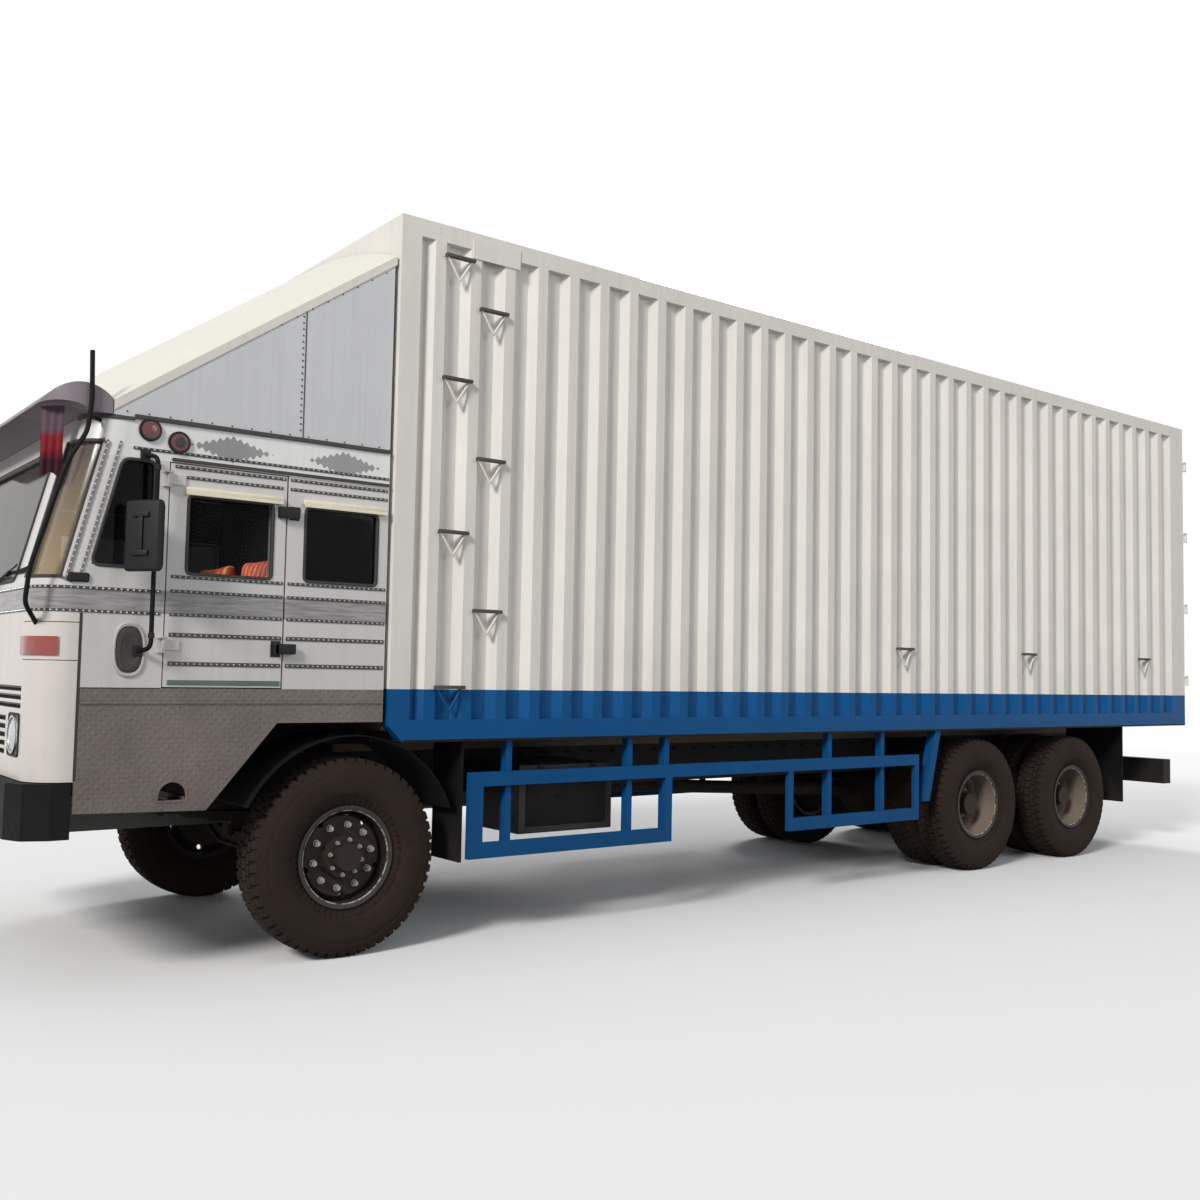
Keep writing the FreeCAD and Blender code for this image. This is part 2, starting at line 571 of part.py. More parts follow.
STEP_LOWEST = 1430.0
STEP_RISE = 433.0
TOP_STEP = BOX_TOP - 175
step_count = 1 + int((TOP_STEP - STEP_LOWEST) / STEP_RISE)
steps = [side_step(k % 2, STEP_LOWEST + k * STEP_RISE) for k in range(step_count)]
steps += [side_step(step_count % 2, TOP_STEP)]
ties = [side_step(n, 1752) for n in (17, 24, 32)]
plate_s = GROOVE_START_S + GROOVE_PITCH
plate = box(plate_s - 60, plate_s + GROOVE_PITCH + 30, -BOX_HALF_W - 6, -BOX_HALF_W, BOX_TOP - 150,
            BOX_TOP - 35)
save("side_steps", *(steps + ties + [mirrored(t) for t in ties] + [plate]))


# Cab shell
def plan_face(front, half, r, back, z):
    """The cab's plan at a height: square at the back, with rounded front corners."""
    k = r * math.sqrt(0.5)
    a = V(at(back), -half, z)
    b = V(at(front + r), -half, z)
    c = V(at(front + r - k), -half + r - k, z)
    d = V(at(front), -half + r, z)
    e = V(at(front), half - r, z)
    f = V(at(front + r - k), half - r + k, z)
    g = V(at(front + r), half, z)
    h = V(at(back), half, z)
    edges = [Part.makeLine(a, b), Part.Arc(b, c, d).toShape(), Part.makeLine(d, e)]
    edges += [Part.Arc(e, f, g).toShape(), Part.makeLine(g, h), Part.makeLine(h, a)]
    return Part.Face(Part.Wire(edges))


def cab_solid(inset, z0, z1, rear=CAB_REAR_S):
    """The cab's outer form moved inwards by inset, between two heights. Above the belt it leans back."""
    front = CAB_FRONT_S + inset
    half = CAB_HALF_W - inset
    r = CAB_CORNER_R - inset
    back = CAB_REAR_S + 40
    pieces = []
    if z0 < CAB_BELT:
        pieces += [plan_face(front, half, r, back, z0).extrude(V(0, 0, min(z1, CAB_BELT) - z0))]
    if z1 > CAB_BELT:
        low = max(z0, CAB_BELT)
        sloped = plan_face(front, half, r, back, low).extrude(V(CAB_RAKE * (z1 - low), 0, z1 - low))
        sloped.translate(V(CAB_RAKE * (low - CAB_BELT), 0, 0))
        pieces += [sloped]
    whole = pieces[0] if len(pieces) == 1 else pieces[0].fuse(pieces[1])
    return whole.common(box(front - 50, rear, -half - 50, half + 50, z0, z1))


def front_at(z):
    """S of the cab's front face at a height."""
    return CAB_FRONT_S + CAB_RAKE * max(0.0, z - CAB_BELT)


def raked(ahead, behind, z0, z1):
    """An (s, z) outline that follows the front face, from ahead of it to behind it."""
    return [
        (front_at(z0) + ahead, z0), (front_at(z0) + behind, z0),
        (front_at(z1) + behind, z1), (front_at(z1) + ahead, z1),
    ]


ROOF_BOTTOM = CAB_TOP - CAB_ROOF_T
SIDE_TOOL = (-CAB_HALF_W - 80, -CAB_HALF_W + 2 * CAB_WALL)
shell = cab_solid(0, CAB_NOSE_BOTTOM, ROOF_BOTTOM)
shell = shell.cut(cab_solid(CAB_WALL, CAB_NOSE_BOTTOM - 10, ROOF_BOTTOM + 10, CAB_REAR_S + 20))

# Openings of the front: a flat windscreen between two posts, and glass round each corner
SCREEN_BOTTOM = 1925.0
SCREEN_TOP = 2570.0
SCREEN_HALF = CAB_HALF_W - 480
POST_OUTER_Y = CAB_HALF_W - 245
CORNER_GLASS_DEPTH = 92.0
GLASS_INSET = 16.0
QUARTER_REAR_S = -1095.0
quarter_window = [
    (front_at(1985) + 202, 1985), (QUARTER_REAR_S, 1985), (QUARTER_REAR_S, 2495),
    (front_at(2495) + 202, 2495),
]
rear_window = (-320, 90)
door_window = (-930, -500)
screen_tools = [side_plate(raked(-100, 160, SCREEN_BOTTOM, SCREEN_TOP), -SCREEN_HALF, SCREEN_HALF)]
corner_tool = side_plate(raked(-100, CORNER_GLASS_DEPTH, SCREEN_BOTTOM, SCREEN_TOP), SIDE_TOOL[0],
                         -POST_OUTER_Y)
screen_tools += both_sides(corner_tool)


def side_pane(s0, s1):
    y = -CAB_HALF_W + GLASS_INSET
    return box(s0, s1, y, y + GLASS_T, WINDOW_BOTTOM, WINDOW_TOP)


# Cowl: the front face, its corners and the sides ahead of the doors, with louvres and lamp recesses
GRILLE_DEPTH = 31.0
LOUVRE_H = 24.0
LOUVRE_DROP = 10.0
LAMP_Y = CAB_HALF_W - 320
LAMP_Z = 1185.0
LAMP_HALF_Y = 98.0
LAMP_HALF_Z = 95.0


def louvre(z, half):
    """A slot in the front face that slants down inwards."""
    deep = CAB_FRONT_S + GRILLE_DEPTH
    mouth = CAB_FRONT_S - 1
    outline = [(mouth, z), (mouth, z + LOUVRE_H), (deep, z + LOUVRE_H - LOUVRE_DROP),
               (deep, z - LOUVRE_DROP)]
    return side_plate(outline, -half, half)


y_all = CAB_HALF_W + 50
cowl = shell.common(box(CAB_FRONT_S - 50, COWL_REAR_S, -y_all, y_all, CAB_FLOOR_TOP, ROOF_BOTTOM))
nose = shell.common(box(CAB_FRONT_S - 50, COWL_REAR_S - 380, -y_all, y_all, CAB_NOSE_BOTTOM,
                        CAB_FLOOR_TOP))
frieze = shell.common(box(COWL_REAR_S, PILLAR_S, -y_all, y_all, FRIEZE_BOTTOM, ROOF_BOTTOM))
cowl = cowl.fuse([nose, frieze])
cowl = cowl.cut(screen_tools)
cowl = cowl.cut(both_sides(side_plate(quarter_window, *SIDE_TOOL)))
cowl = cowl.cut([louvre(1310 + 40 * k, CAB_HALF_W - CAB_CORNER_R - 35) for k in range(3)])
cowl = cowl.cut([louvre(1085 + 40 * k, LAMP_Y - LAMP_HALF_Y - 82) for k in range(5)])
recess = box(CAB_FRONT_S - 1, CAB_FRONT_S + 25, -LAMP_Y - LAMP_HALF_Y - 2, -LAMP_Y + LAMP_HALF_Y + 2,
             LAMP_Z - LAMP_HALF_Z - 2, LAMP_Z + LAMP_HALF_Z + 2)
cowl = cowl.cut(both_sides(recess))

DOOR_PIN_Y = CAB_HALF_W + 18
DOOR_PIN_S = COWL_REAR_S
DOOR_PIN_R = 6.0
DOOR_KNUCKLE_R = 12.0
DOOR_KNUCKLE_HALF = 25.0
DOOR_LUG_T = 8.0
DOOR_HINGE_Z = (1620.0, 2420.0)
cab_lugs = []
for z in DOOR_HINGE_Z:
    low = z - DOOR_KNUCKLE_HALF - LUG_GAP - DOOR_LUG_T
    for z0 in (low, z + DOOR_KNUCKLE_HALF + LUG_GAP):
        cab_lugs += [box(DOOR_PIN_S - 30, DOOR_PIN_S, -DOOR_PIN_Y - DOOR_KNUCKLE_R, -CAB_HALF_W + 2, z0,
                         z0 + DOOR_LUG_T)]
        cab_lugs += [Part.makeCylinder(DOOR_KNUCKLE_R, DOOR_LUG_T, V(at(DOOR_PIN_S), -DOOR_PIN_Y, z0))]
    cab_lugs += [Part.makeCylinder(DOOR_PIN_R, 2 * (z - low), V(at(DOOR_PIN_S), -DOOR_PIN_Y, low))]
cab_lugs = join(cab_lugs)
save("cab_cowl", join([cowl, cab_lugs, mirrored(cab_lugs)]))

# Sides behind the doors, back and roof
BACK_FRONT_S = CAB_REAR_S - CAB_WALL
panel = shell.common(box(PILLAR_S, BACK_FRONT_S, *SIDE_TOOL, CAB_FLOOR_TOP, ROOF_BOTTOM))
panel = panel.cut(box(rear_window[0], rear_window[1], *SIDE_TOOL, WINDOW_BOTTOM, WINDOW_TOP))
save("cab_side_left", panel)
save("cab_side_right", mirrored(panel))
FLOOR_EDGE = CAB_HALF_W - 8
FLOOR_BASE = CAB_FLOOR_TOP - CAB_FLOOR_T
back = box(BACK_FRONT_S, CAB_REAR_S, -CAB_HALF_W, CAB_HALF_W, CAB_FLOOR_TOP, ROOF_BOTTOM)
back = join([back, box(BACK_FRONT_S, CAB_REAR_S, -FLOOR_EDGE, FLOOR_EDGE, FLOOR_BASE, CAB_FLOOR_TOP)])
save("cab_back", back)
roof_cap = cab_solid(0, ROOF_BOTTOM, CAB_TOP)
save("cab_roof", roof_cap)

# Cab floor with its four feet on the chassis
FOOT_HALF = 40.0
cab_floor = [cab_solid(CAB_WALL + SEAT_GAP, FLOOR_BASE, CAB_FLOOR_TOP, BACK_FRONT_S)]
cab_floor += [box(COWL_REAR_S - 378, BACK_FRONT_S, -FLOOR_EDGE, FLOOR_EDGE, FLOOR_BASE, CAB_FLOOR_TOP)]
for s in (-1450, 20):
    for y in (-SPRING_Y, SPRING_Y):
        cab_floor += [box(s - FOOT_HALF, s + FOOT_HALF, y - FOOT_HALF, y + FOOT_HALF, RAIL_TOP,
                          FLOOR_BASE + 1)]
save("cab_floor", join(cab_floor))

# Cab doors
door = shell.common(box(DOOR_FRONT_S, DOOR_REAR_S, *SIDE_TOOL, CAB_FLOOR_TOP + DOOR_GAP,
                        FRIEZE_BOTTOM - DOOR_GAP))
door = door.cut(box(door_window[0], door_window[1], *SIDE_TOOL, WINDOW_BOTTOM, WINDOW_TOP))
straps = []
for z in DOOR_HINGE_Z:
    z0, z1 = z - DOOR_KNUCKLE_HALF, z + DOOR_KNUCKLE_HALF
    straps += [box(DOOR_FRONT_S, DOOR_FRONT_S + 70, -CAB_HALF_W - 10, -CAB_HALF_W + 2, z0, z1)]
    straps += [Part.makeCylinder(DOOR_KNUCKLE_R, 2 * DOOR_KNUCKLE_HALF,
                                 V(at(DOOR_PIN_S), -DOOR_PIN_Y, z0))]
    straps += [box(DOOR_PIN_S, DOOR_FRONT_S + 10, -DOOR_PIN_Y - 2, -CAB_HALF_W - 6, z0, z1)]
HANDLE_OUT = 34.0
handle = join([
    box(-478, -455, -CAB_HALF_W - HANDLE_OUT, -CAB_HALF_W + 2, 1590, 1640),
    box(-478, -366, -CAB_HALF_W - HANDLE_OUT, -CAB_HALF_W - 18, 1590, 1640),
])
door = join([door] + straps + [handle])
for z in DOOR_HINGE_Z:
    bore_low = z - DOOR_KNUCKLE_HALF - 10
    door = door.cut(Part.makeCylinder(DOOR_PIN_R + RUNNING_FIT, 2 * (z - bore_low),
                                      V(at(DOOR_PIN_S), -DOOR_PIN_Y, bore_low)))
save("cab_door_left", door)
save("cab_door_right", mirrored(door))
door_glass = side_pane(door_window[0], door_window[1])
save("door_glass_left", door_glass)
save("door_glass_right", mirrored(door_glass))

# Fixed glass
outside = cab_solid(GLASS_INSET, SCREEN_BOTTOM, SCREEN_TOP)
pane = outside.cut(cab_solid(GLASS_INSET + GLASS_T, SCREEN_BOTTOM - 5, SCREEN_TOP + 5))
save("windscreen", *[pane.common(tool) for tool in screen_tools])
quarter = side_plate(quarter_window, -CAB_HALF_W + GLASS_INSET, -CAB_HALF_W + GLASS_INSET + GLASS_T)
save("side_glass", *(both_sides(quarter) + both_sides(side_pane(rear_window[0], rear_window[1]))))

# Inside the cab: driver on the right
DRIVER_Y = 520.0
DASH_TOP = 1915.0
dash_outline = [(-1600, 1640), (-1250, 1640), (-1180, 1780), (-1200, 1850), (-1330, DASH_TOP),
                (-1600, DASH_TOP)]
dash = side_plate(dash_outline, -CAB_HALF_W,
                  CAB_HALF_W).common(cab_solid(CAB_WALL + SEAT_GAP, 1600, DASH_TOP, -1100))
save("dashboard", dash)
WHEEL_RING_R = 215.0
SPOKE_R = 11.0
column_foot = (-1195, DRIVER_Y, 1820)
wheel_centre = (-1030, DRIVER_Y, 1930)
tilt = V(195, 0, 130).normalize()
ring = Part.makeTorus(WHEEL_RING_R, 15, V(at(wheel_centre[0]), DRIVER_Y, wheel_centre[2]), tilt)
wheel = [ring, rod(column_foot, wheel_centre, 28)]
for k in range(4):
    turn = math.pi * (0.25 + 0.5 * k)
    across_y = WHEEL_RING_R * math.cos(turn)
    along = WHEEL_RING_R * math.sin(turn)
    end = (wheel_centre[0] + along * tilt.z, DRIVER_Y + across_y, wheel_centre[2] - along * tilt.x)
    wheel += [rod(wheel_centre, end, SPOKE_R)]
wheel += [rod(wheel_centre, (wheel_centre[0] + 22 * tilt.x, DRIVER_Y, wheel_centre[2] + 22 * tilt.z), 45)]
save("steering_wheel", join(wheel).cut(dash))

SEAT_TOP = 1740.0
SEAT_BASE_TOP = 1600.0
BACKREST_TOP = 2165.0
BACKREST_T = 100.0


def seat(y, width):
    """A cushion on its base, and a backrest that leans back, with rounded edges."""
    half = width / 2
    base = box(-640, -230, y - half + 40, y + half - 40, CAB_FLOOR_TOP, SEAT_BASE_TOP)
    cushion = box(-720, -190, y - half, y + half, SEAT_BASE_TOP, SEAT_TOP)
    cushion = cushion.makeFillet(35, [e for e in cushion.Edges if e.BoundBox.ZMin > SEAT_TOP - 20])
    foot_s = -255
    lean = 70
    outline = [
        (foot_s, SEAT_TOP - 30), (foot_s + BACKREST_T, SEAT_TOP - 30),
        (foot_s + BACKREST_T + lean, BACKREST_TOP), (foot_s + lean, BACKREST_TOP),
    ]
    rest = side_plate(outline, y - half, y + half)
    rest = rest.makeFillet(35, [e for e in rest.Edges if e.BoundBox.ZMin > BACKREST_TOP - 5])
    return join([base, cushion, rest])


save("seats", seat(DRIVER_Y, 520), seat(-420, 900))

# Aluminium skirts below the cab, with a foot hole, a step behind it and arms to the chassis
SKIRT_FRONT_S = -1410.0
SKIRT_LOW_FRONT = 834.0
SKIRT_LOW_REAR = 820.0
ARCH_FOOT_S = -790.0
ARCH_HEAD_S = -440.0
ARCH_TOP = 1240.0
skirt_outline = [
    (SKIRT_FRONT_S, CAB_FLOOR_TOP), (SKIRT_FRONT_S, SKIRT_LOW_FRONT), (ARCH_FOOT_S, SKIRT_LOW_REAR),
    (ARCH_HEAD_S, ARCH_TOP), (CAB_REAR_S, ARCH_TOP), (CAB_REAR_S, CAB_FLOOR_TOP),
]
skirt = side_plate(skirt_outline, -CAB_HALF_W, -FLOOR_EDGE)
HOLE_S = -957.0
HOLE_R = 70.0
HOLE_LOW = 872.0
hole_z = HOLE_LOW + 25
foot_hole = box(HOLE_S - HOLE_R, HOLE_S + HOLE_R, -CAB_HALF_W - 1, -FLOOR_EDGE + 1, HOLE_LOW, hole_z)
foot_hole = foot_hole.fuse(rod((HOLE_S, -CAB_HALF_W - 1, hole_z), (HOLE_S, -FLOOR_EDGE + 1, hole_z),
                               HOLE_R))
foot_hole = foot_hole.common(box(HOLE_S - HOLE_R, HOLE_S + HOLE_R, -CAB_HALF_W - 1, -FLOOR_EDGE + 1,
                                 HOLE_LOW, hole_z + HOLE_R))
skirt = skirt.cut(foot_hole)
STEP_IN_Y = -960.0
STEP_Z = 840.0
step_box = box(-1380, -800, -FLOOR_EDGE, STEP_IN_Y, STEP_Z, STEP_Z + 10)
step_arms = [box(s, s + 40, -FLOOR_EDGE, -RAIL_OUT, STEP_Z + 10, STEP_Z + 50) for s in (-1340, -900)]
skirt = join([skirt, step_box] + step_arms)
save("skirts", *both_sides(skirt))

# Fairing over the cab: an arched sloping shell on two upright sides
FAIRING_FRONT_S = -1300.0
FAIRING_REAR_S = 165.0
FAIRING_LOW = 2770.0
FAIRING_HIGH = BOX_TOP - 241
CROWN = 210.0
LIP = 50.0
SHELL_T = 30.0
run = V(FAIRING_REAR_S - FAIRING_FRONT_S, 0, FAIRING_HIGH - FAIRING_LOW)


def arch(y_half, z_edge, z_crown):
    a = V(at(FAIRING_FRONT_S), -y_half, z_edge)
    b = V(at(FAIRING_FRONT_S), 0, z_crown)
    c = V(at(FAIRING_FRONT_S), y_half, z_edge)
    return Part.Arc(a, b, c).toShape()


def line(y0, z0, y1, z1):
    return Part.makeLine(V(at(FAIRING_FRONT_S), y0, z0), V(at(FAIRING_FRONT_S), y1, z1))


w = CAB_HALF_W
v = CAB_HALF_W - SHELL_T
top, lip = FAIRING_LOW, FAIRING_LOW - LIP
shell_wire = Part.Wire([
    line(-w, lip, -w, top), arch(w, top, top + CROWN), line(w, top, w, lip), line(w, lip, v, lip),
    line(v, lip, v, top - SHELL_T), arch(v, top - SHELL_T, top + CROWN - SHELL_T),
    line(-v, top - SHELL_T, -v, lip), line(-v, lip, -w, lip),
])
fairing_top = Part.Face(shell_wire).extrude(run)
brow_edges = [line(-v, lip, -v, top - 10), arch(v, top - 10, top + CROWN - 10),
              line(v, top - 10, v, lip), line(v, lip, -v, lip)]
brow = Part.Face(Part.Wire(brow_edges)).extrude(V(40, 0, 28))
save("fairing_top", join([fairing_top, brow]))
lip_low = FAIRING_LOW - LIP - SEAT_GAP
lip_high = FAIRING_HIGH - LIP - SEAT_GAP
lip_rise = (lip_high - lip_low) * (FAIRING_REAR_S - CAB_REAR_S) / (FAIRING_REAR_S - FAIRING_FRONT_S)
cheek_outline = [
    (FAIRING_FRONT_S, CAB_TOP), (CAB_REAR_S, CAB_TOP), (CAB_REAR_S, lip_high - lip_rise),
    (FAIRING_FRONT_S, lip_low),
]
save("fairing_sides", *both_sides(side_plate(cheek_outline, -w + 4, -v)))

# Visor over the windscreen: a curved peak with the cab's rounded corners
VISOR_TIP_S = CAB_FRONT_S
VISOR_REAR_S = FAIRING_FRONT_S - 5
VISOR_TIP_Z = 2733.0
visor_base = CAB_TOP + SEAT_GAP


def section_point(s, z):
    return V(at(s), -y_all, z)


tip = section_point(VISOR_TIP_S, VISOR_TIP_Z)
rear_top = section_point(VISOR_REAR_S, 2772)
rear_low = section_point(VISOR_REAR_S, visor_base)
front_low = section_point(front_at(CAB_TOP) + 10, visor_base)
visor_edges = [
    Part.Arc(tip, section_point(-1490, 2824), rear_top).toShape(), Part.makeLine(rear_top, rear_low),
    Part.makeLine(rear_low, front_low), Part.Arc(front_low, section_point(-1500, 2737), tip).toShape(),
]
visor = Part.Face(Part.Wire(visor_edges)).extrude(V(0, 2 * y_all, 0))
visor_plan = plan_face(VISOR_TIP_S - 1, CAB_HALF_W, CAB_CORNER_R, VISOR_REAR_S,
                       CAB_TOP - 50).extrude(V(0, 0, 300))
save("visor", visor.common(visor_plan))

# Front bumper: a shallow channel that wraps round the corners
BUMPER_REAR_S = -1418.0
BUMPER_FRONT_S = -1665.0
BUMPER_LOW = 720.0
BUMPER_HIGH = 976.0
BUMPER_T = 8.0


def bumper_plan(front, side_y, r):
    left = [(BUMPER_REAR_S, -side_y), (front + r, -side_y), (front + r * 0.3, -side_y + r * 0.3),
            (front, -side_y + r)]
    return left + [(s, -y) for s, y in reversed(left)]


bumper_y = CAB_HALF_W + 5
bumper = plan_plate(bumper_plan(BUMPER_FRONT_S, bumper_y, 160), BUMPER_LOW, BUMPER_HIGH)
channel = bumper_plan(BUMPER_FRONT_S + BUMPER_T, bumper_y - BUMPER_T, 156)
bumper = bumper.cut(plan_plate(channel, BUMPER_LOW + 10, BUMPER_HIGH - 10))
bumper = bumper.cut(plan_plate(bumper_plan(CAB_FRONT_S, CAB_HALF_W - 50, 130), BUMPER_LOW - 20,
                               BUMPER_HIGH + 20))
bumper_arm = box(BUMPER_FRONT_S + 5, RAIL_FRONT_S, RAIL_IN + 5, RAIL_OUT - 5, BUMPER_LOW + 60,
                 BUMPER_HIGH - 16)
bumper = join([bumper] + both_sides(bumper_arm))
save("bumper", bumper)

# Head lamps: a bezel with a turned rim round a domed lens
LENS_R = 78.0
LENS_RISE = 14.0
DOME_R = (LENS_R ** 2 + LENS_RISE ** 2) / (2 * LENS_RISE)
lamp_face_s = CAB_FRONT_S - 2
bezel = box(lamp_face_s, CAB_FRONT_S + 25, -LAMP_Y - LAMP_HALF_Y, -LAMP_Y + LAMP_HALF_Y,
            LAMP_Z - LAMP_HALF_Z, LAMP_Z + LAMP_HALF_Z)
rim = rod((lamp_face_s - 10, -LAMP_Y, LAMP_Z), (lamp_face_s + 10, -LAMP_Y, LAMP_Z), LENS_R + 11)
well = rod((lamp_face_s - 11, -LAMP_Y, LAMP_Z), (lamp_face_s + 4, -LAMP_Y, LAMP_Z), LENS_R)
dome = Part.makeSphere(DOME_R, V(at(lamp_face_s - 8 + DOME_R - LENS_RISE / 2), -LAMP_Y, LAMP_Z))
dome = dome.common(rod((lamp_face_s - 60, -LAMP_Y, LAMP_Z), (lamp_face_s + 6, -LAMP_Y, LAMP_Z),
                       LENS_R - 1))
head_lamp = join([join([bezel, rim]).cut(well), dome])
save("head_lamps", *both_sides(head_lamp))

# Marker lamps: one round each front corner, and two round ones high on each side
CORNER_LAMP_LOW = 1560.0
CORNER_LAMP_HIGH = 1645.0
corner_lamp = cab_solid(-9, CORNER_LAMP_LOW,
                        CORNER_LAMP_HIGH).cut(cab_solid(-SEAT_GAP, CORNER_LAMP_LOW - 20,
                                                        CORNER_LAMP_HIGH + 20))
corner_left = corner_lamp.common(box(-1700, -1500, -y_all, -CAB_HALF_W + 240, CORNER_LAMP_LOW,
                                     CORNER_LAMP_HIGH))


def round_lamp(s, z):
    """A round side lamp: a shallow drum with a domed face."""
    seat_y = -CAB_HALF_W - SEAT_GAP
    drum = rod((s, seat_y, z), (s, seat_y - 12, z), 45)
    face = Part.makeSphere(120, V(at(s), seat_y - 20 + 120, z)).common(rod((s, seat_y - 5, z),
        (s, seat_y - 30, z), 42))
    return join([drum, face])


round_lamps = [round_lamp(-1130, 2645), round_lamp(-990, 2603)]
save("marker_lamps", *(both_sides(corner_left) + round_lamps + [mirrored(lamp) for lamp in round_lamps]))

# Mirrors, and the tall rods in front of the windscreen corners
ROD_R = 11.0
MIRROR_ARM_Y = -CAB_HALF_W - 75
MIRROR_S = -1110.0
foot_y = -CAB_HALF_W + 4
stem = bent_rod([(MIRROR_S - 40, foot_y, 2525), (MIRROR_S, MIRROR_ARM_Y, 2510),
                 (MIRROR_S, MIRROR_ARM_Y, 1600), (MIRROR_S - 40, foot_y, 1585)], ROD_R)
head_middle = (MIRROR_S - 70, MIRROR_ARM_Y - 75)
mirror_arm = rod((MIRROR_S, MIRROR_ARM_Y, 2130), (head_middle[0], head_middle[1], 2130), ROD_R)
head = box(head_middle[0] - 35, head_middle[0] + 25, head_middle[1] - 90, head_middle[1] + 80, 1955, 2290)
head = head.makeFillet(20, head.Edges)
head.rotate(V(at(head_middle[0]), head_middle[1], 2100), V(0, 0, 1), -12)
mirror = join([stem, mirror_arm, head]).cut(cab_solid(-SEAT_GAP, 1000, CAB_TOP))
rod_y = -CAB_HALF_W - ROD_R - 5
rod_points = [
    (-1413, rod_y, 2980), (-1405, rod_y, 2745), (-1420, rod_y, 2600), (-1505, rod_y - 8, 2443),
    (-1640, rod_y + 2, 1951), (-1650, rod_y + 22, 1790), (-1572, -CAB_HALF_W + 108, 1700),
]
corner_rod = bent_rod(rod_points, ROD_R)
rod_hold = rod((-1409, rod_y, 2670), (-1330, -CAB_HALF_W + 70, 2670), ROD_R - 2)
corner_rod = join([corner_rod, rod_hold]).cut(cab_solid(-SEAT_GAP, 1000, CAB_TOP))
save("mirrors", *(both_sides(mirror) + both_sides(corner_rod)))

# Side guards: frames of flat bar on brackets, and a slanted stay ahead of the rear wheels
GUARD_Y = -BOX_HALF_W + 8
GUARD_T = 36.0
GUARD_HIGH = 950.0
GUARD_LOW = 465.0
guard = [
    box(708, 4730, GUARD_Y, GUARD_Y + GUARD_T, 870, GUARD_HIGH),
    box(708, 2222, GUARD_Y, GUARD_Y + GUARD_T, GUARD_LOW, GUARD_LOW + 87),
    box(3298, 4730, GUARD_Y, GUARD_Y + GUARD_T, GUARD_LOW - 7, GUARD_LOW + 80),
    box(708, 800, GUARD_Y, GUARD_Y + GUARD_T, GUARD_LOW, GUARD_HIGH),
    box(4686, 4730, GUARD_Y, GUARD_Y + GUARD_T, GUARD_LOW - 7, GUARD_HIGH),
    box(3298, 3342, GUARD_Y, GUARD_Y + GUARD_T, GUARD_LOW - 7, GUARD_HIGH),
    box(2166, 2222, GUARD_Y, GUARD_Y + GUARD_T, GUARD_LOW, GUARD_HIGH),
]
bracket_y = (GUARD_Y + GUARD_T - 10, GUARD_Y + GUARD_T + 45)
for s in (985, 1890, 2194, 3745, 4330):
    guard += [box(s - 20, s + 20, bracket_y[0], bracket_y[1], GUARD_LOW + 5, BOX_BOTTOM)]
stay = side_plate([(4800, 590), (4870, 590), (5010, BOX_BOTTOM), (4940, BOX_BOTTOM)], GUARD_Y + 6,
                  bracket_y[1])
save("side_guards", *(both_sides(join(guard)) + both_sides(stay)))

# Front mudguards, arched over the wheels on brackets, and flaps behind the wheels
GUARD_ARCH_R = 640.0
GUARD_ARCH_T = 6.0
ARCH_IN_Y = -700.0
ARCH_OUT_Y = -FLOOR_EDGE + 7
arch_out = Part.makeCylinder(GUARD_ARCH_R + GUARD_ARCH_T, ARCH_IN_Y - ARCH_OUT_Y,
                             V(at(0), ARCH_OUT_Y, TYRE_R), V(0, 1, 0))
arch_in = Part.makeCylinder(GUARD_ARCH_R, ARCH_IN_Y - ARCH_OUT_Y, V(at(0), ARCH_OUT_Y, TYRE_R),
                            V(0, 1, 0))
guard_arch = arch_out.cut(arch_in).common(box(-570, 600, -y_all, 0, TYRE_R + 230, CAB_FLOOR_TOP))
arms = []
for s in (-130, 130):
    top_z = TYRE_R + math.sqrt(GUARD_ARCH_R ** 2 - s ** 2) + 3
    arms += [box(s - 20, s + 20, ARCH_OUT_Y + 40, -RAIL_IN - 20, top_z - 24, top_z)]
    arms += [box(s - 20, s + 20, -RAIL_OUT, -RAIL_IN - 20, RAIL_TOP, top_z)]
mudguard = join([guard_arch] + arms)
flap_out = -FRONT_WHEEL_Y - TYRE_HALF_W - 21
front_flap = box(662, 676, flap_out, -880, 450, BOX_BOTTOM)
twin_half = TWIN_OFFSET + TYRE_HALF_W
flap_s = REAR_AXLE_S[1] + TYRE_R + 285
rear_flap = box(flap_s, flap_s + 14, -TWIN_Y - twin_half + 14, -TWIN_Y + twin_half - 24, 440, BOX_BOTTOM)
save("mud_flaps", *(both_sides(mudguard) + both_sides(front_flap) + both_sides(rear_flap)))

# Rear underrun beam and tail lamps
BEAM_S = 8555.0
BEAM_T = 125.0
beam = [box(BEAM_S, BEAM_S + BEAM_T, -1150, 1150, 570, 800)]
beam += both_sides(box(RAIL_REAR_S - 100, BEAM_S + 5, RAIL_IN, RAIL_OUT, 620, RAIL_BOTTOM))
save("rear_beam", join(beam))
lamp = box(BEAM_S + BEAM_T, BEAM_S + BEAM_T + 26, 760, 1130, 620, 760)
lamp = lamp.makeFillet(8, [e for e in lamp.Edges if e.BoundBox.XMin > at(BEAM_S + BEAM_T) + 20])
save("tail_lamps", *both_sides(lamp))

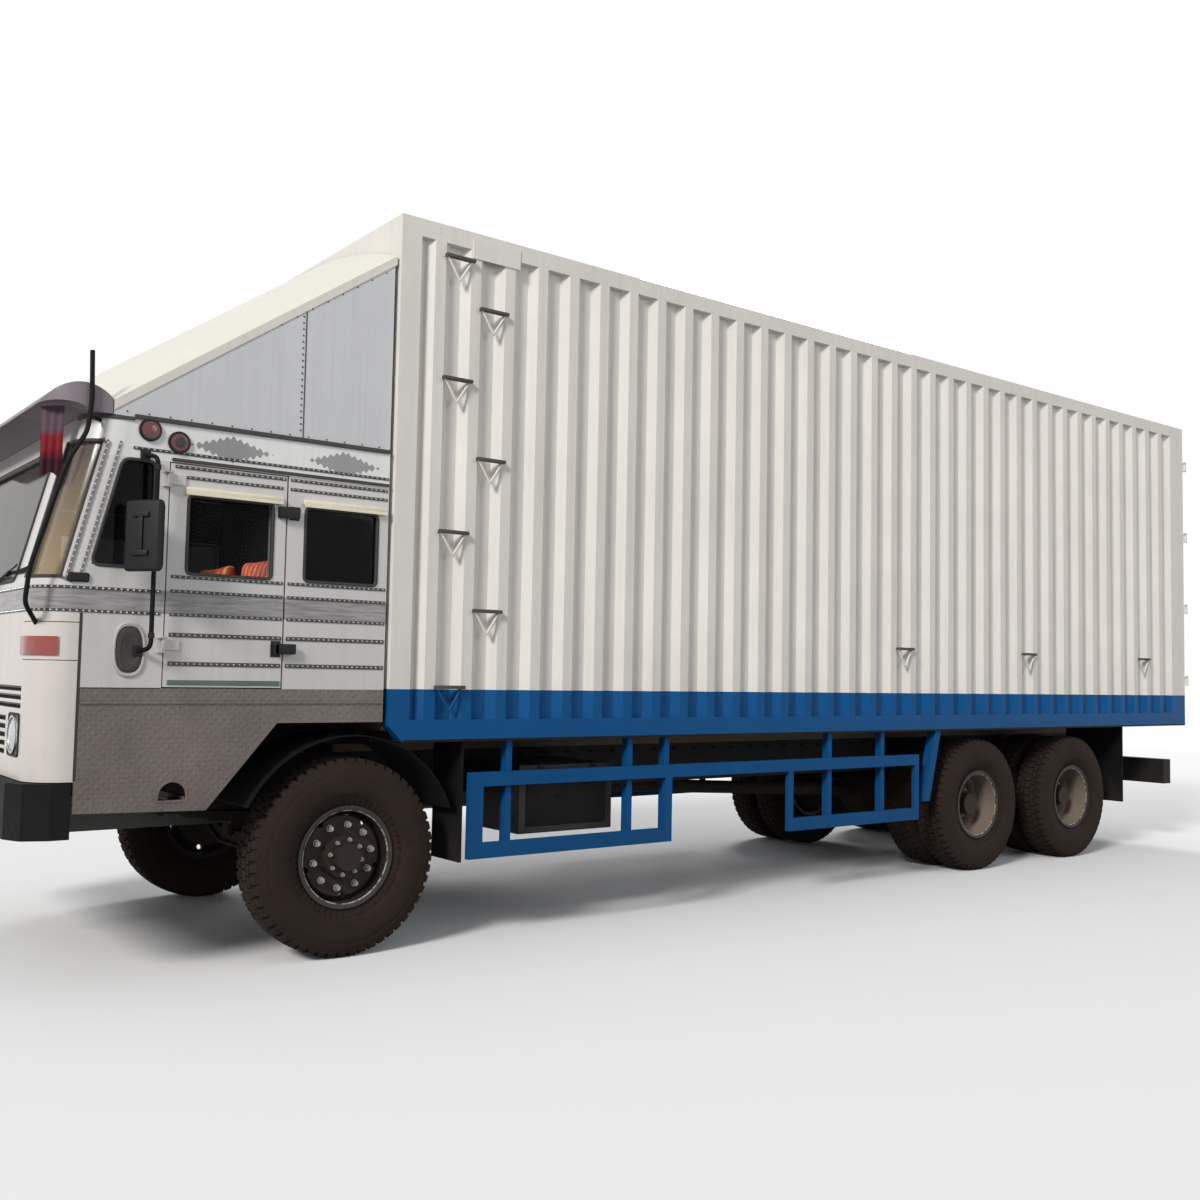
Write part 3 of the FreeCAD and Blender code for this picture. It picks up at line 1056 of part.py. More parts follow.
# Tow eyes
EYE_BORE_R = 25.0
EYE_OUTER_R = 52.0
EYE_T = 44.0
tow_eyes = (
    ("front_tow_eye", -1585, 645, FIRST_CROSS_S - 40, FIRST_CROSS_S + 40),
    ("rear_tow_eye", 8570, 500, LAST_CROSS_S - 30, LAST_CROSS_S + 50),
)
for name, s, z, post_front, post_rear in tow_eyes:
    eye = [Part.makeCylinder(EYE_OUTER_R, EYE_T, V(at(s), -EYE_T / 2, z), V(0, 1, 0))]
    eye += [box(post_front, post_rear, -EYE_T / 2, EYE_T / 2, z - 45, RAIL_BOTTOM)]
    eye += [box(min(s, post_front), max(s, post_rear), -EYE_T / 2, EYE_T / 2, z - 45, z + 45)]
    eye = join(eye)
    save(name, eye.cut(Part.makeCylinder(EYE_BORE_R, EYE_T + 4, V(at(s), -EYE_T / 2 - 2, z), V(0, 1, 0))))
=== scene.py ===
# %% [markdown]
# # A box truck with an insulated body, dressed for its picture
# The solids of the truck come from its construction model. This notebook gives them their finish and
# adds what is too small or too soft for that model: tread, nuts, rivets, seals, cushions and lamp glass.
# Every piece is built where it belongs, in metres, with the front of the truck towards -X, its left side
# towards -Y and the ground at Z = 0. The first cell loads the solids and keeps their outer box.

# %% Load the truck
import bmesh
import bpy
import math
from mathutils import Matrix, Vector


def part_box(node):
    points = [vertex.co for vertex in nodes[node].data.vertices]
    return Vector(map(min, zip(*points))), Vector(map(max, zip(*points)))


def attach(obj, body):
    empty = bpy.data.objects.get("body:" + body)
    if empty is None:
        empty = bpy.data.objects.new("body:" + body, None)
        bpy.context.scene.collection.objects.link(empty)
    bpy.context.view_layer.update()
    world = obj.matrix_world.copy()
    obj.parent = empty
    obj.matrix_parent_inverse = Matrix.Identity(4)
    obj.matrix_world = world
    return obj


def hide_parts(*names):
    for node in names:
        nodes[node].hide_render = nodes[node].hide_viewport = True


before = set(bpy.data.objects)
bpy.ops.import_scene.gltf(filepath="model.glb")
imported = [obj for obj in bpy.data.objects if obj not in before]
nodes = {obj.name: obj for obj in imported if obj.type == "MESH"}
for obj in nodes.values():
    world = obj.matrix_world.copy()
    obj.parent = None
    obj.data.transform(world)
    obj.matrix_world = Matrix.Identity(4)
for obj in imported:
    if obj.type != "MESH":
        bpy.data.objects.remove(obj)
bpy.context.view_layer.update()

scene = bpy.context.scene
SIDES = (("left", -1), ("right", 1))


def middle(name):
    """The middle of a solid's box."""
    low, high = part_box(name)
    return (low + high) / 2


AXLE = middle("front_tyre_left").x
TYRE_R = middle("front_tyre_left").z
REAR_AXLES = [middle("twin_tyres_left_%d" % k).x for k in (1, 2)]


def at(behind):
    """X of a place this far behind the front axle."""
    return AXLE + behind


print("loaded", len(nodes), "solids, front axle at X", round(AXLE, 3))

# %% [markdown]
# ## The camera
# The photograph was taken at eye level, ahead of the truck and to its left. A camera is fitted by its
# place, its turn away from the side of the truck, a slight upward tilt and a slight roll. The lens is
# given for a sensor 36 mm wide, so it keeps the same view at any size of picture.

# %% Place the camera
CAMERA_PLACE = Vector((at(-2.9535), -7.0866, 1.5177))
CAMERA_TURN = 0.6604
CAMERA_TILT = 0.061
CAMERA_ROLL = 0.0186
CAMERA_LENS = 36.45

camera_data = bpy.data.cameras.new("camera")
camera_data.lens = CAMERA_LENS
camera_data.sensor_width = 36.0
camera_data.sensor_fit = "HORIZONTAL"
camera_data.clip_end = 200.0
camera = bpy.data.objects.new("camera", camera_data)
scene.collection.objects.link(camera)
level = math.cos(CAMERA_TILT)
ahead = Vector((math.sin(CAMERA_TURN) * level, math.cos(CAMERA_TURN) * level, math.sin(CAMERA_TILT)))
right = Vector((math.cos(CAMERA_TURN), -math.sin(CAMERA_TURN), 0))
above = right.cross(ahead)
right_rolled = right * math.cos(CAMERA_ROLL) + above * math.sin(CAMERA_ROLL)
above_rolled = above * math.cos(CAMERA_ROLL) - right * math.sin(CAMERA_ROLL)
turn = Matrix((right_rolled, above_rolled, -ahead)).transposed()
camera.matrix_world = Matrix.Translation(CAMERA_PLACE) @ turn.to_4x4()
scene.camera = camera
print("camera at", [round(v, 3) for v in CAMERA_PLACE])

# %% [markdown]
# ## Short ways to write a shader
# A finish is a small network of nodes. Each helper adds one node and returns the socket that the next one
# needs, so a network reads like a sum. Colours are given as they are seen, from 0 to 255.

# %% Helpers for shader nodes


def node(tree, kind, settings=None, **inputs):
    """Add one node. A socket given another socket is linked, and any other value is stored in it."""
    made = tree.nodes.new("ShaderNode" + kind)
    for key, value in (settings or {}).items():
        setattr(made, key, value)
    for key, value in inputs.items():
        socket = made.inputs[int(key[1:])] if key[0] == "_" else made.inputs[key.replace("_", " ")]
        if isinstance(value, bpy.types.NodeSocket):
            tree.links.new(value, socket)
        else:
            short = socket.type == "VECTOR" and hasattr(value, "__len__")
            socket.default_value = value[:3] if short else value
    return made


def new_material(name):
    """A fresh material, its tree, its main shader and the place on the object."""
    material = bpy.data.materials.new(name)
    material.use_nodes = True
    tree = material.node_tree
    return material, tree, tree.nodes["Principled BSDF"], node(tree, "TexCoord").outputs["Object"]


def rgb(r, g, b):
    """A colour as seen, in the linear values that a shader takes."""
    linear = [v / 255 / 12.92 if v < 10 else ((v / 255 + 0.055) / 1.055) ** 2.4 for v in (r, g, b)]
    return (*linear, 1)


def mix(tree, factor, first, second):
    blend = node(tree, "Mix", {"data_type": "RGBA", "clamp_factor": True}, _0=factor, _6=first, _7=second)
    return blend.outputs[2]


def maths(tree, operation, first, second=0.0, clamp=False):
    return node(tree, "Math", {"operation": operation, "use_clamp": clamp}, _0=first, _1=second).outputs[0]


def ramp(tree, value, low, high, to_low=0.0, to_high=1.0):
    return node(tree, "MapRange", {"clamp": True}, _0=value, _1=low, _2=high, _3=to_low, _4=to_high).outputs[0]


def inside(tree, value, low, high):
    """1 where value lies between low and high."""
    return maths(tree, "MULTIPLY", maths(tree, "GREATER_THAN", value, low), maths(tree, "LESS_THAN", value, high))


def scaled(tree, colour, by):
    return node(tree, "VectorMath", {"operation": "SCALE"}, _0=colour, Scale=by).outputs[0]


def noise(tree, place, scale, detail=3.0, roughness=0.6):
    return node(tree, "TexNoise", Vector=place, Scale=scale, Detail=detail, Roughness=roughness).outputs[0]


def bands(tree, place, direction, scale):
    settings = {"wave_type": "BANDS", "bands_direction": direction}
    return node(tree, "TexWave", settings, Vector=place, Scale=scale).outputs[1]


print("shader helpers ready")

# %% [markdown]
# ## The studio
# A pale floor, an even white surround and three large soft lamps. The main lamp stands ahead of the truck
# and high, because in the photograph the faces of the ribs that point forwards are the brightest.
# The surround is white only to the camera, to mirrors and through glass, so it doesn't wash out the shaded
# underside. Far from the truck the floor fades into the same white, so no edge of it shows from any side.
# A small lamp hangs inside the cab.

# %% Floor, surround and lamps
FLOOR_SIZE = 160.0
FLOOR_GREY = 0.9
FLOOR_BOUNCE = 0.25
FADE = (8.0, 24.0)
SURROUND = 0.40
WHITE = (1, 1, 1, 1)


def seen_rays(tree):
    """1 for the rays of the camera, of mirrors and of clear glass, 0 for the light that falls on the truck."""
    path = node(tree, "LightPath").outputs
    seen = maths(tree, "MAXIMUM", path["Is Camera Ray"], path["Is Glossy Ray"])
    return maths(tree, "MAXIMUM", seen, path["Is Transmission Ray"])


floor_mesh = bpy.data.meshes.new("studio_floor")
floor_bm = bmesh.new()
bmesh.ops.create_grid(floor_bm, x_segments=1, y_segments=1, size=FLOOR_SIZE / 2)
floor_bm.to_mesh(floor_mesh)
floor_bm.free()
floor = bpy.data.objects.new("studio_floor", floor_mesh)
scene.collection.objects.link(floor)
material, tree, shader, place = new_material("studio_floor")
shader.inputs["Roughness"].default_value = 0.9
seen = seen_rays(tree)
tree.links.new(ramp(tree, seen, 0, 1, FLOOR_BOUNCE, FLOOR_GREY), shader.inputs["Base Color"])
reach = node(tree, "VectorMath", {"operation": "LENGTH"}, _0=place).outputs["Value"]
fade = node(tree, "MapRange", {"interpolation_type": "SMOOTHSTEP"}, _0=reach, _1=FADE[0], _2=FADE[1])
fade = maths(tree, "MULTIPLY", fade.outputs[0], seen)
white = node(tree, "Emission", Color=WHITE, Strength=1.0)
faded = node(tree, "MixShader", _0=fade, _1=shader.outputs[0], _2=white.outputs[0])
tree.links.new(faded.outputs[0], tree.nodes["Material Output"].inputs["Surface"])
floor_mesh.materials.append(material)

world = bpy.data.worlds.new("surround")
scene.world = world
world.use_nodes = True
tree = world.node_tree
tree.nodes.clear()
white = node(tree, "Background", Color=WHITE, Strength=1.0)
dim = node(tree, "Background", Color=(0.93, 0.96, 1.0, 1), Strength=SURROUND)
chosen = node(tree, "MixShader", _0=seen_rays(tree), _1=dim.outputs[0], _2=white.outputs[0])
node(tree, "OutputWorld", Surface=chosen.outputs[0])


def lamp(name, place, target, size, power, colour, spread=180, visible=True):
    """A round soft lamp at a place, turned to a target."""
    data = bpy.data.lights.new(name, "AREA")
    data.shape = "DISK"
    data.size = size
    data.energy = power
    data.color = colour
    data.spread = math.radians(spread)
    made = bpy.data.objects.new(name, data)
    made.location = place
    made.rotation_euler = (Vector(target) - Vector(place)).to_track_quat("-Z", "Y").to_euler()
    made.visible_camera = visible
    scene.collection.objects.link(made)


lamp("main_lamp", (-41.8, -19.2, 27.9), (-1, 0, 1.5), 12.0, 21200, (1.0, 0.975, 0.945))
lamp("side_lamp", (6, -18, 9), (2, 0, 1.5), 9.0, 560, (0.97, 0.98, 1.0))
lamp("back_lamp", (14, 12, 12), (0, 0, 2), 8.0, 1500, (1.0, 0.98, 0.96))
lamp("cab_lamp", (at(-0.75), 0.0, 2.60), (at(-0.25), 0.0, 1.95), 0.5, 7, (1.0, 0.97, 0.93), 110, False)
scene.view_settings.view_transform = "Standard"
print("studio ready")

# %% [markdown]
# ## Finishes
# Paint on a working truck is never one flat colour. Each finish starts from a base colour, which may
# change with height where a stripe is painted, then gets a slow mottling, thin streaks that run down,
# road dirt that thickens towards the ground, and a fine unevenness in the surface. All of it is worked
# out from the place on the object, so no picture is needed and the pattern holds from every side.

# %% A finish with mottling, streaks and road dirt
DUST = (0.14, 0.115, 0.095, 1)


def finish(name, colour, roughness=0.45, metallic=0.0, coat=0.0, mottle=0.06, streaks=0.0, dirt_top=0.0,
           dirt=0.0, dirt_colour=DUST, grain=60.0, bump=0.02, paint=None, all_over=0.0, shine=0.5):
    """A weathered finish. paint may be a function that turns the tree and place into a colour socket."""
    material, tree, shader, place = new_material(name)
    shader.inputs["Metallic"].default_value = metallic
    shader.inputs["Coat Weight"].default_value = coat
    shader.inputs["Specular IOR Level"].default_value = shine
    split = node(tree, "SeparateXYZ", _0=place).outputs
    base = paint(tree, split, place) if paint else colour
    slow = noise(tree, place, 1.7, 4.0)
    fine = noise(tree, place, grain)
    dark = scaled(tree, base, ramp(tree, slow, 0.3, 0.7, 1.0 - mottle, 1.0))
    mask = ramp(tree, fine, 0.35, 0.75, 0.0, all_over)
    if streaks:
        stretched = node(tree, "Mapping", Vector=place, Scale=(26.0, 26.0, 0.7)).outputs[0]
        run = noise(tree, stretched, 1.0, 3.0, 0.55)
        mask = maths(tree, "ADD", mask, ramp(tree, run, 0.5, 0.8, 0.0, streaks))
    if dirt:
        low = ramp(tree, split["Z"], dirt_top * 0.35, dirt_top, 1.0, 0.0)
        clouds = ramp(tree, noise(tree, place, 7.0, 6.0, 0.7), 0.3, 0.62, 0.25, 1.0)
        broken = maths(tree, "MULTIPLY", low, clouds)
        mask = maths(tree, "ADD", mask, maths(tree, "MULTIPLY", broken, dirt))
    mask = maths(tree, "MINIMUM", mask, 0.95)
    tree.links.new(mix(tree, mask, dark, dirt_colour), shader.inputs["Base Color"])
    worn = ramp(tree, fine, 0.3, 0.7, roughness - 0.06, roughness + 0.08)
    worn = maths(tree, "ADD", worn, maths(tree, "MULTIPLY", mask, 0.35), clamp=True)
    tree.links.new(worn, shader.inputs["Roughness"])
    uneven = node(tree, "Bump", Height=fine, Strength=1.0, Distance=bump * 0.01)
    tree.links.new(uneven.outputs[0], shader.inputs["Normal"])
    return material


def paint_levels(*levels):
    """Paint whose colour changes with height: (lowest height, colour) pairs from the ground up."""
    def paint(tree, split, place):
        colour = levels[0][1]
        for height, above_it in levels[1:]:
            colour = mix(tree, maths(tree, "GREATER_THAN", split["Z"], height), colour, above_it)
        return colour
    return paint


print("finish ready")

# %% [markdown]
# ## Plain finishes
# The box is white down to the line where its blue foot begins. The frame, axles and tanks are black or
# bare iron under road dirt, and the fairing is cream on top with grey sides.

# %% Finishes of body, frame and trim
BLUE_TOP = 1.417
BOX_WHITE = rgb(228, 224, 217)
TRIM_BLUE = rgb(0, 80, 136)

box_paint = finish("box_paint", None, mottle=0.08, streaks=0.08, dirt_top=1.9, dirt=0.10,
                   dirt_colour=rgb(58, 53, 50), paint=paint_levels((0, TRIM_BLUE), (BLUE_TOP, BOX_WHITE)),
                   bump=0.03, shine=0.15)
roof_paint = finish("roof_paint", BOX_WHITE, roughness=0.5, mottle=0.12, all_over=0.15, bump=0.03)
inner_floor = finish("inner_floor", rgb(96, 84, 70), roughness=0.7, mottle=0.3, dirt_top=4, dirt=0.2, bump=0.08)
trim_blue = finish("trim_blue", TRIM_BLUE, mottle=0.18, dirt_top=1.3, dirt=0.2,
                   dirt_colour=rgb(50, 52, 54), all_over=0.06, shine=0.12)
under_paint = finish("under_paint", rgb(17, 17, 19), roughness=0.7, mottle=0.3, dirt_top=1.1, dirt=0.16,
                     all_over=0.08, shine=0.2)
axle_iron = finish("axle_iron", rgb(26, 24, 23), roughness=0.8, mottle=0.4, dirt_top=1.2, dirt=0.28,
                   all_over=0.16, bump=0.12, shine=0.2)
engine_iron = finish("engine_iron", rgb(82, 84, 82), roughness=0.6, mottle=0.35, all_over=0.3, bump=0.1)
tank_paint = finish("tank_paint", rgb(24, 24, 26), mottle=0.2, dirt_top=1.1, dirt=0.2, shine=0.3)
fairing_cream = finish("fairing_cream", rgb(218, 215, 203), roughness=0.42, coat=0.1, mottle=0.05, streaks=0.05)
fairing_grey = finish("fairing_grey", rgb(204, 205, 207), mottle=0.06, streaks=0.12)
visor_paint = finish("visor_paint", rgb(134, 122, 130), roughness=0.55, mottle=0.25, all_over=0.2)
black_steel = finish("black_steel", rgb(12, 11, 12), roughness=0.6, mottle=0.3, dirt_top=1.0, dirt=0.07,
                     shine=0.15)
black_plastic = finish("black_plastic", rgb(22, 22, 25), roughness=0.55, mottle=0.2, grain=220, bump=0.05,
                       all_over=0.05, shine=0.25)
dash_plastic = finish("dash_plastic", rgb(70, 70, 74), roughness=0.65, mottle=0.1, grain=320, bump=0.08)
rubber = finish("rubber", rgb(15, 14, 15), roughness=0.85, mottle=0.2, dirt_top=0.75, dirt=0.22, bump=0.05,
                shine=0.15)
tyre_rubber = finish("tyre_rubber", rgb(30, 24, 22), roughness=0.9, mottle=0.3, dirt_top=3, dirt=0.13,
                     dirt_colour=rgb(92, 72, 60), grain=90, all_over=0.14, bump=0.06, shine=0.2)
bright_metal = finish("bright_metal", rgb(196, 196, 196), roughness=0.25, metallic=0.9, mottle=0.1, all_over=0.1)
print("plain finishes ready")

# %% [markdown]
# ## Rims and skirts
# A rear rim is a deep dish: its disc deep inside is painted dark as painted shade, and its walls are paler.
# The front rim's edge has lost its paint on one corner. Both change colour with the distance from the axle.
# The skirts are aluminium floor plate, whose raised diamonds are two crossed sets of bands.

# %% Finishes of rims and skirts
# The front rims are painted this dark brown. On the rear rims it is the painted shade of the deep disc.
DARK_RIM_AND_DISC_SHADE = rgb(27, 21, 19)
DISH_BEIGE = rgb(146, 132, 118)
DISH_WALL = (0.195, 0.235)
WORN_EDGE = (0.236, 0.2475)
PLATE_PITCH = 0.032
PLATE_HEIGHT = 0.0012


def wheel_radius(tree, split):
    """How far a point lies from the nearest axle, as a socket."""
    reach = None
    up = maths(tree, "SUBTRACT", split["Z"], TYRE_R)
    for x in [AXLE] + REAR_AXLES:
        along = maths(tree, "SUBTRACT", split["X"], x)
        squares = maths(tree, "ADD", maths(tree, "MULTIPLY", along, along), maths(tree, "MULTIPLY", up, up))
        this = maths(tree, "SQRT", squares)
        reach = maths(tree, "MINIMUM", reach, this) if reach else this
    return reach


def dish_shaded_disc_colours(tree, split, place):
    """A rear rim: the disc deep inside painted dark as painted shade, and paler walls round it."""
    return mix(tree, ramp(tree, wheel_radius(tree, split), *DISH_WALL), DARK_RIM_AND_DISC_SHADE, DISH_BEIGE)


def edge_colours(tree, split, place):
    """A front rim's edge: dark, with a thin broken line of bare metal on its inner corner."""
    chips = ramp(tree, noise(tree, place, 34.0), 0.42, 0.55)
    worn = maths(tree, "MULTIPLY", inside(tree, wheel_radius(tree, split), *WORN_EDGE), chips)
    return mix(tree, worn, rgb(27, 22, 20), rgb(176, 172, 166))


def add_checker(material, pitch, height):
    """Raised diamonds, as on rolled floor plate, pressed into a finish that is already there."""
    tree = material.node_tree
    shader = tree.nodes["Principled BSDF"]
    place = node(tree, "TexCoord").outputs["Object"]
    crossed = []
    for turn in (45, -45):
        turned = node(tree, "Mapping", Vector=place, Rotation=(0, math.radians(turn), 0)).outputs[0]
        crossed.append(bands(tree, turned, "X", 0.314 / pitch))
    raised = ramp(tree, maths(tree, "MULTIPLY", *crossed), 0.45, 0.65)
    before = shader.inputs["Normal"].links[0].from_socket
    pressed = node(tree, "Bump", Height=raised, Strength=1.0, Distance=height, Normal=before)
    tree.links.new(pressed.outputs[0], shader.inputs["Normal"])


front_rim_paint = finish("front_rim_paint", DARK_RIM_AND_DISC_SHADE, roughness=0.6, mottle=0.35, dirt_top=3, dirt=0.14,
                         dirt_colour=rgb(78, 62, 54), all_over=0.14, bump=0.08, shine=0.25)
rear_rim_paint = finish("rear_rim_paint", None, roughness=0.55, mottle=0.3, dirt_top=3, dirt=0.25,
                        dirt_colour=rgb(84, 70, 60), all_over=0.22, bump=0.06, paint=dish_shaded_disc_colours, shine=0.25)
rim_edge_paint = finish("rim_edge_paint", None, roughness=0.55, mottle=0.3, all_over=0.2,
                        dirt_colour=rgb(62, 54, 48), paint=edge_colours)
skirt_metal = finish("skirt_metal", rgb(122, 113, 109), roughness=0.5, metallic=0.6, mottle=0.35, dirt_top=1.45,
                     dirt=0.35, dirt_colour=rgb(74, 62, 56), all_over=0.25)
add_checker(skirt_metal, PLATE_PITCH, PLATE_HEIGHT)
print("rim and skirt finishes ready")

# %% [markdown]
# ## Cab paint
# The cab is white sheet metal with a silver stripe below the windows. The band above the windows carries
# two grey diamonds on each side, a common ornament on such cabs. A diamond is the set of places whose
# distance along plus distance across, each divided by its half size, stays under one. A fine wave in that
# sum gives it a toothed edge.

# %% White cab with a silver stripe and grey diamonds
STRIPE = (1.767, 1.880)
FRIEZE = (2.506, 2.700)
DIAMONDS = (-0.725, -0.112)
DIAMOND_HALF = (0.200, 0.062)
FRONT_PANELS = -1.405
FRIEZE_START = (-1.42, -1.20)
CAB_WHITE = rgb(204, 202, 199)
# The front corner panels below the stripe are painted lighter and warmer. Their lightness is painted light from
# the front.
LIT_CORNER_WHITE = rgb(213, 206, 200)
FRIEZE_WHITE = rgb(226, 226, 223)
STRIPE_SILVER = rgb(162, 160, 160)
STRIPE_DARK = rgb(122, 119, 120)
DIAMOND_GREY = rgb(134, 134, 134)


def cab_colours(tree, split, place):
    """White panels in three slightly different whites, the front corners lighter as painted light, a brushed
    stripe and the diamonds.
    """
    ahead = maths(tree, "LESS_THAN", split["X"], at(FRONT_PANELS))
    below = maths(tree, "LESS_THAN", split["Z"], STRIPE[0])
    colour = mix(tree, maths(tree, "MULTIPLY", ahead, below), CAB_WHITE, LIT_CORNER_WHITE)
    beside = ramp(tree, split["X"], *[at(s) for s in FRIEZE_START])
    above_doors = maths(tree, "GREATER_THAN", split["Z"], FRIEZE[0])
    colour = mix(tree, maths(tree, "MULTIPLY", beside, above_doors), colour, FRIEZE_WHITE)
    drawn = node(tree, "Mapping", Vector=place, Scale=(6.0, 6.0, 70.0)).outputs[0]
    brushed = ramp(tree, noise(tree, drawn, 1.0, 4.0, 0.65), 0.36, 0.66)
    silver = mix(tree, brushed, STRIPE_DARK, STRIPE_SILVER)
    colour = mix(tree, inside(tree, split["Z"], *STRIPE), colour, silver)
    rows = maths(tree, "ABSOLUTE", maths(tree, "SUBTRACT", split["Z"], sum(FRIEZE) / 2))
    across = maths(tree, "DIVIDE", rows, DIAMOND_HALF[1])
    teeth = ramp(tree, bands(tree, place, "X", 9.0), 0, 1, -0.12, 0.12)
    for centre in DIAMONDS:
        aside = maths(tree, "ABSOLUTE", maths(tree, "SUBTRACT", split["X"], at(centre)))
        spread = maths(tree, "ADD", maths(tree, "DIVIDE", aside, DIAMOND_HALF[0]), across)
        shape = maths(tree, "LESS_THAN", maths(tree, "ADD", spread, teeth), 1.0)
        colour = mix(tree, shape, colour, DIAMOND_GREY)
    return colour


cab_paint = finish("cab_paint", None, roughness=0.34, coat=0.2, streaks=0.10, dirt_top=1.9, dirt=0.16,
                   paint=cab_colours)
print("cab paint ready")

# %% [markdown]
# ## Glass, lamp lenses and seat vinyl
# Window glass is a thin tinted pane. A shader that lets a fixed part of the light straight through shows
# the dark cab behind it and still catches the sky, without the noise of true refraction. A lens is moulded
# plastic whose two crossed sets of ribs make small cells. The seats are orange vinyl with pale stripes.

# %% Glass, lens and vinyl finishes
CORNER_PANE_Y = 0.85
CHANNEL_PITCH = 0.066


def glass(name, tint, clearness, roughness=0.02, film=0.25, shine=0.5, reflection_and_shade=None):
    """A tinted pane with a film of dust. reflection_and_shade paints the corner panes, from a painted reflection
    low down to painted shade high up: (height, colour) twice.
    """
    material, tree, shader, place = new_material(name)
    shader.inputs["IOR"].default_value = 1.5
    shader.inputs["Alpha"].default_value = 1 - clearness
    shader.inputs["Specular IOR Level"].default_value = shine
    if reflection_and_shade:
        (low, low_reflection), (high, high_shade) = reflection_and_shade
        split = node(tree, "SeparateXYZ", _0=place).outputs
        aside = maths(tree, "GREATER_THAN", maths(tree, "ABSOLUTE", split["Y"]), CORNER_PANE_Y)
        tint = mix(tree, aside, tint, mix(tree, ramp(tree, split["Z"], low, high), low_reflection, high_shade))
    dust = noise(tree, place, 3.0, 2.0, 0.5)
    tree.links.new(ramp(tree, dust, 0.35, 0.75, roughness, roughness + 0.14), shader.inputs["Roughness"])
    film = ramp(tree, dust, 0.4, 0.8, 0, film)
    tree.links.new(mix(tree, film, tint, rgb(120, 118, 112)), shader.inputs["Base Color"])
    return material


def lens(name, colour, ribs=90.0, low_colour=None, low_top=2.0):
    """Moulded lamp plastic with fine ribs inside. Lamps below a height may have a colour of their own."""
    material, tree, shader, place = new_material(name)
    shader.inputs["Roughness"].default_value = 0.12
    shader.inputs["Coat Weight"].default_value = 0.6
    cells = maths(tree, "MULTIPLY", bands(tree, place, "Z", ribs), bands(tree, place, "Y", ribs))
    if low_colour:
        height = node(tree, "SeparateXYZ", _0=place).outputs["Z"]
        colour = mix(tree, maths(tree, "LESS_THAN", height, low_top), colour, low_colour)
    tree.links.new(mix(tree, cells, colour, scaled(tree, colour, 1.5)), shader.inputs["Base Color"])
    ribbed = node(tree, "Bump", Height=cells, Strength=0.6, Distance=0.002)
    tree.links.new(ribbed.outputs[0], shader.inputs["Normal"])
    return material


def vinyl_colours(tree, split, place):
    """Orange red with a paler stripe along each channel."""
    wave = maths(tree, "COSINE", maths(tree, "MULTIPLY", split["Y"], math.tau / CHANNEL_PITCH))
    return mix(tree, ramp(tree, wave, -0.95, -0.70, 1.0, 0.0), rgb(222, 84, 44), rgb(240, 188, 146))


window_glass = glass("window_glass", rgb(9, 8, 12), 0.72, film=0.05, shine=0.12)
dark_glass = glass("dark_glass", rgb(7, 6, 10), 0.10, film=0.03, shine=0.10)
# The corner panes carry a beige painted reflection at their foot that turns into dark painted shade at their top.
windscreen_glass = glass("windscreen_glass", rgb(66, 66, 60), 0.42, film=0.10,
                         reflection_and_shade=((1.95, rgb(176, 154, 122)), (2.56, rgb(92, 82, 76))))
dark_shell = finish("dark_shell", rgb(60, 60, 64), roughness=0.4, mottle=0.2, all_over=0.2)
mirror_glass = finish("mirror_glass", rgb(205, 208, 212), roughness=0.06, metallic=1.0, mottle=0.03)
red_lens = lens("red_lens", rgb(168, 24, 22))
amber_lens = lens("amber_lens", rgb(168, 64, 30))
clear_lens = lens("clear_lens", rgb(176, 182, 186), ribs=28.0)
marker_lens = lens("marker_lens", rgb(96, 26, 28), low_colour=rgb(142, 46, 34))
seat_vinyl = finish("seat_vinyl", None, roughness=0.5, coat=0.15, mottle=0.22, grain=380, bump=0.12,
                    all_over=0.10, paint=vinyl_colours)
print("glass, lenses and vinyl ready")

# %% [markdown]
# ## Dress the solids
# Each solid of the truck keeps its shape and gets the finish of its real material. One list says which.

# %% Give each solid its finish


def both(name):
    """The names of a left and a right solid."""
    return tuple(name + "_" + side for side, out in SIDES)


def twins(name):
    """The names of the four solids of the rear wheels."""
    return tuple("%s_%s_%d" % (name, side, k) for side, out in SIDES for k in (1, 2))


DRESS = {
    box_paint: both("box_side") + both("rear_door") + ("box_front", "rear_frame", "side_steps"),
    roof_paint: ("box_roof",),
    inner_floor: ("box_floor",),
    trim_blue: ("side_guards",),
    under_paint: ("chassis_frame", "rear_beam", "front_tow_eye", "rear_tow_eye"),
    axle_iron: ("front_axle", "rear_axles", "leaf_springs", "drive_shafts") + both("knuckle"),
    engine_iron: ("engine",),
    tank_paint: ("fuel_tank", "battery_box"),
    cab_paint: ("cab_cowl", "cab_back", "cab_roof") + both("cab_side") + both("cab_door"),
    dash_plastic: ("dashboard", "cab_floor"),
    fairing_cream: ("fairing_top",),
    fairing_grey: ("fairing_sides",),
    visor_paint: ("visor",),
    black_steel: ("bumper",),
    black_plastic: ("mirrors", "steering_wheel"),
    skirt_metal: ("skirts",),
    rubber: ("mud_flaps",),
    window_glass: both("door_glass"),
    dark_glass: ("side_glass",),
    windscreen_glass: ("windscreen",),
    dark_shell: ("head_lamps",),
    red_lens: ("tail_lamps",),
    marker_lens: ("marker_lamps",),
    tyre_rubber: both("front_tyre") + twins("twin_tyres"),
    front_rim_paint: both("front_rim"),
    rear_rim_paint: twins("twin_rims"),
    seat_vinyl: ("seats",),
}
for material, names in DRESS.items():
    for name in names:
        slots = nodes[name].data.materials
        slots.clear()
        slots.append(material)
print("dressed", sum(len(names) for names in DRESS.values()), "of", len(nodes), "solids")

# %% [markdown]
# ## Tools for new pieces
# A new piece is a bmesh that becomes one object, rides on a body of the truck and takes one finish. Small
# parts that repeat, such as nuts and rivets, are one little mesh stamped at many places.

# %% Make a piece, stamp a part


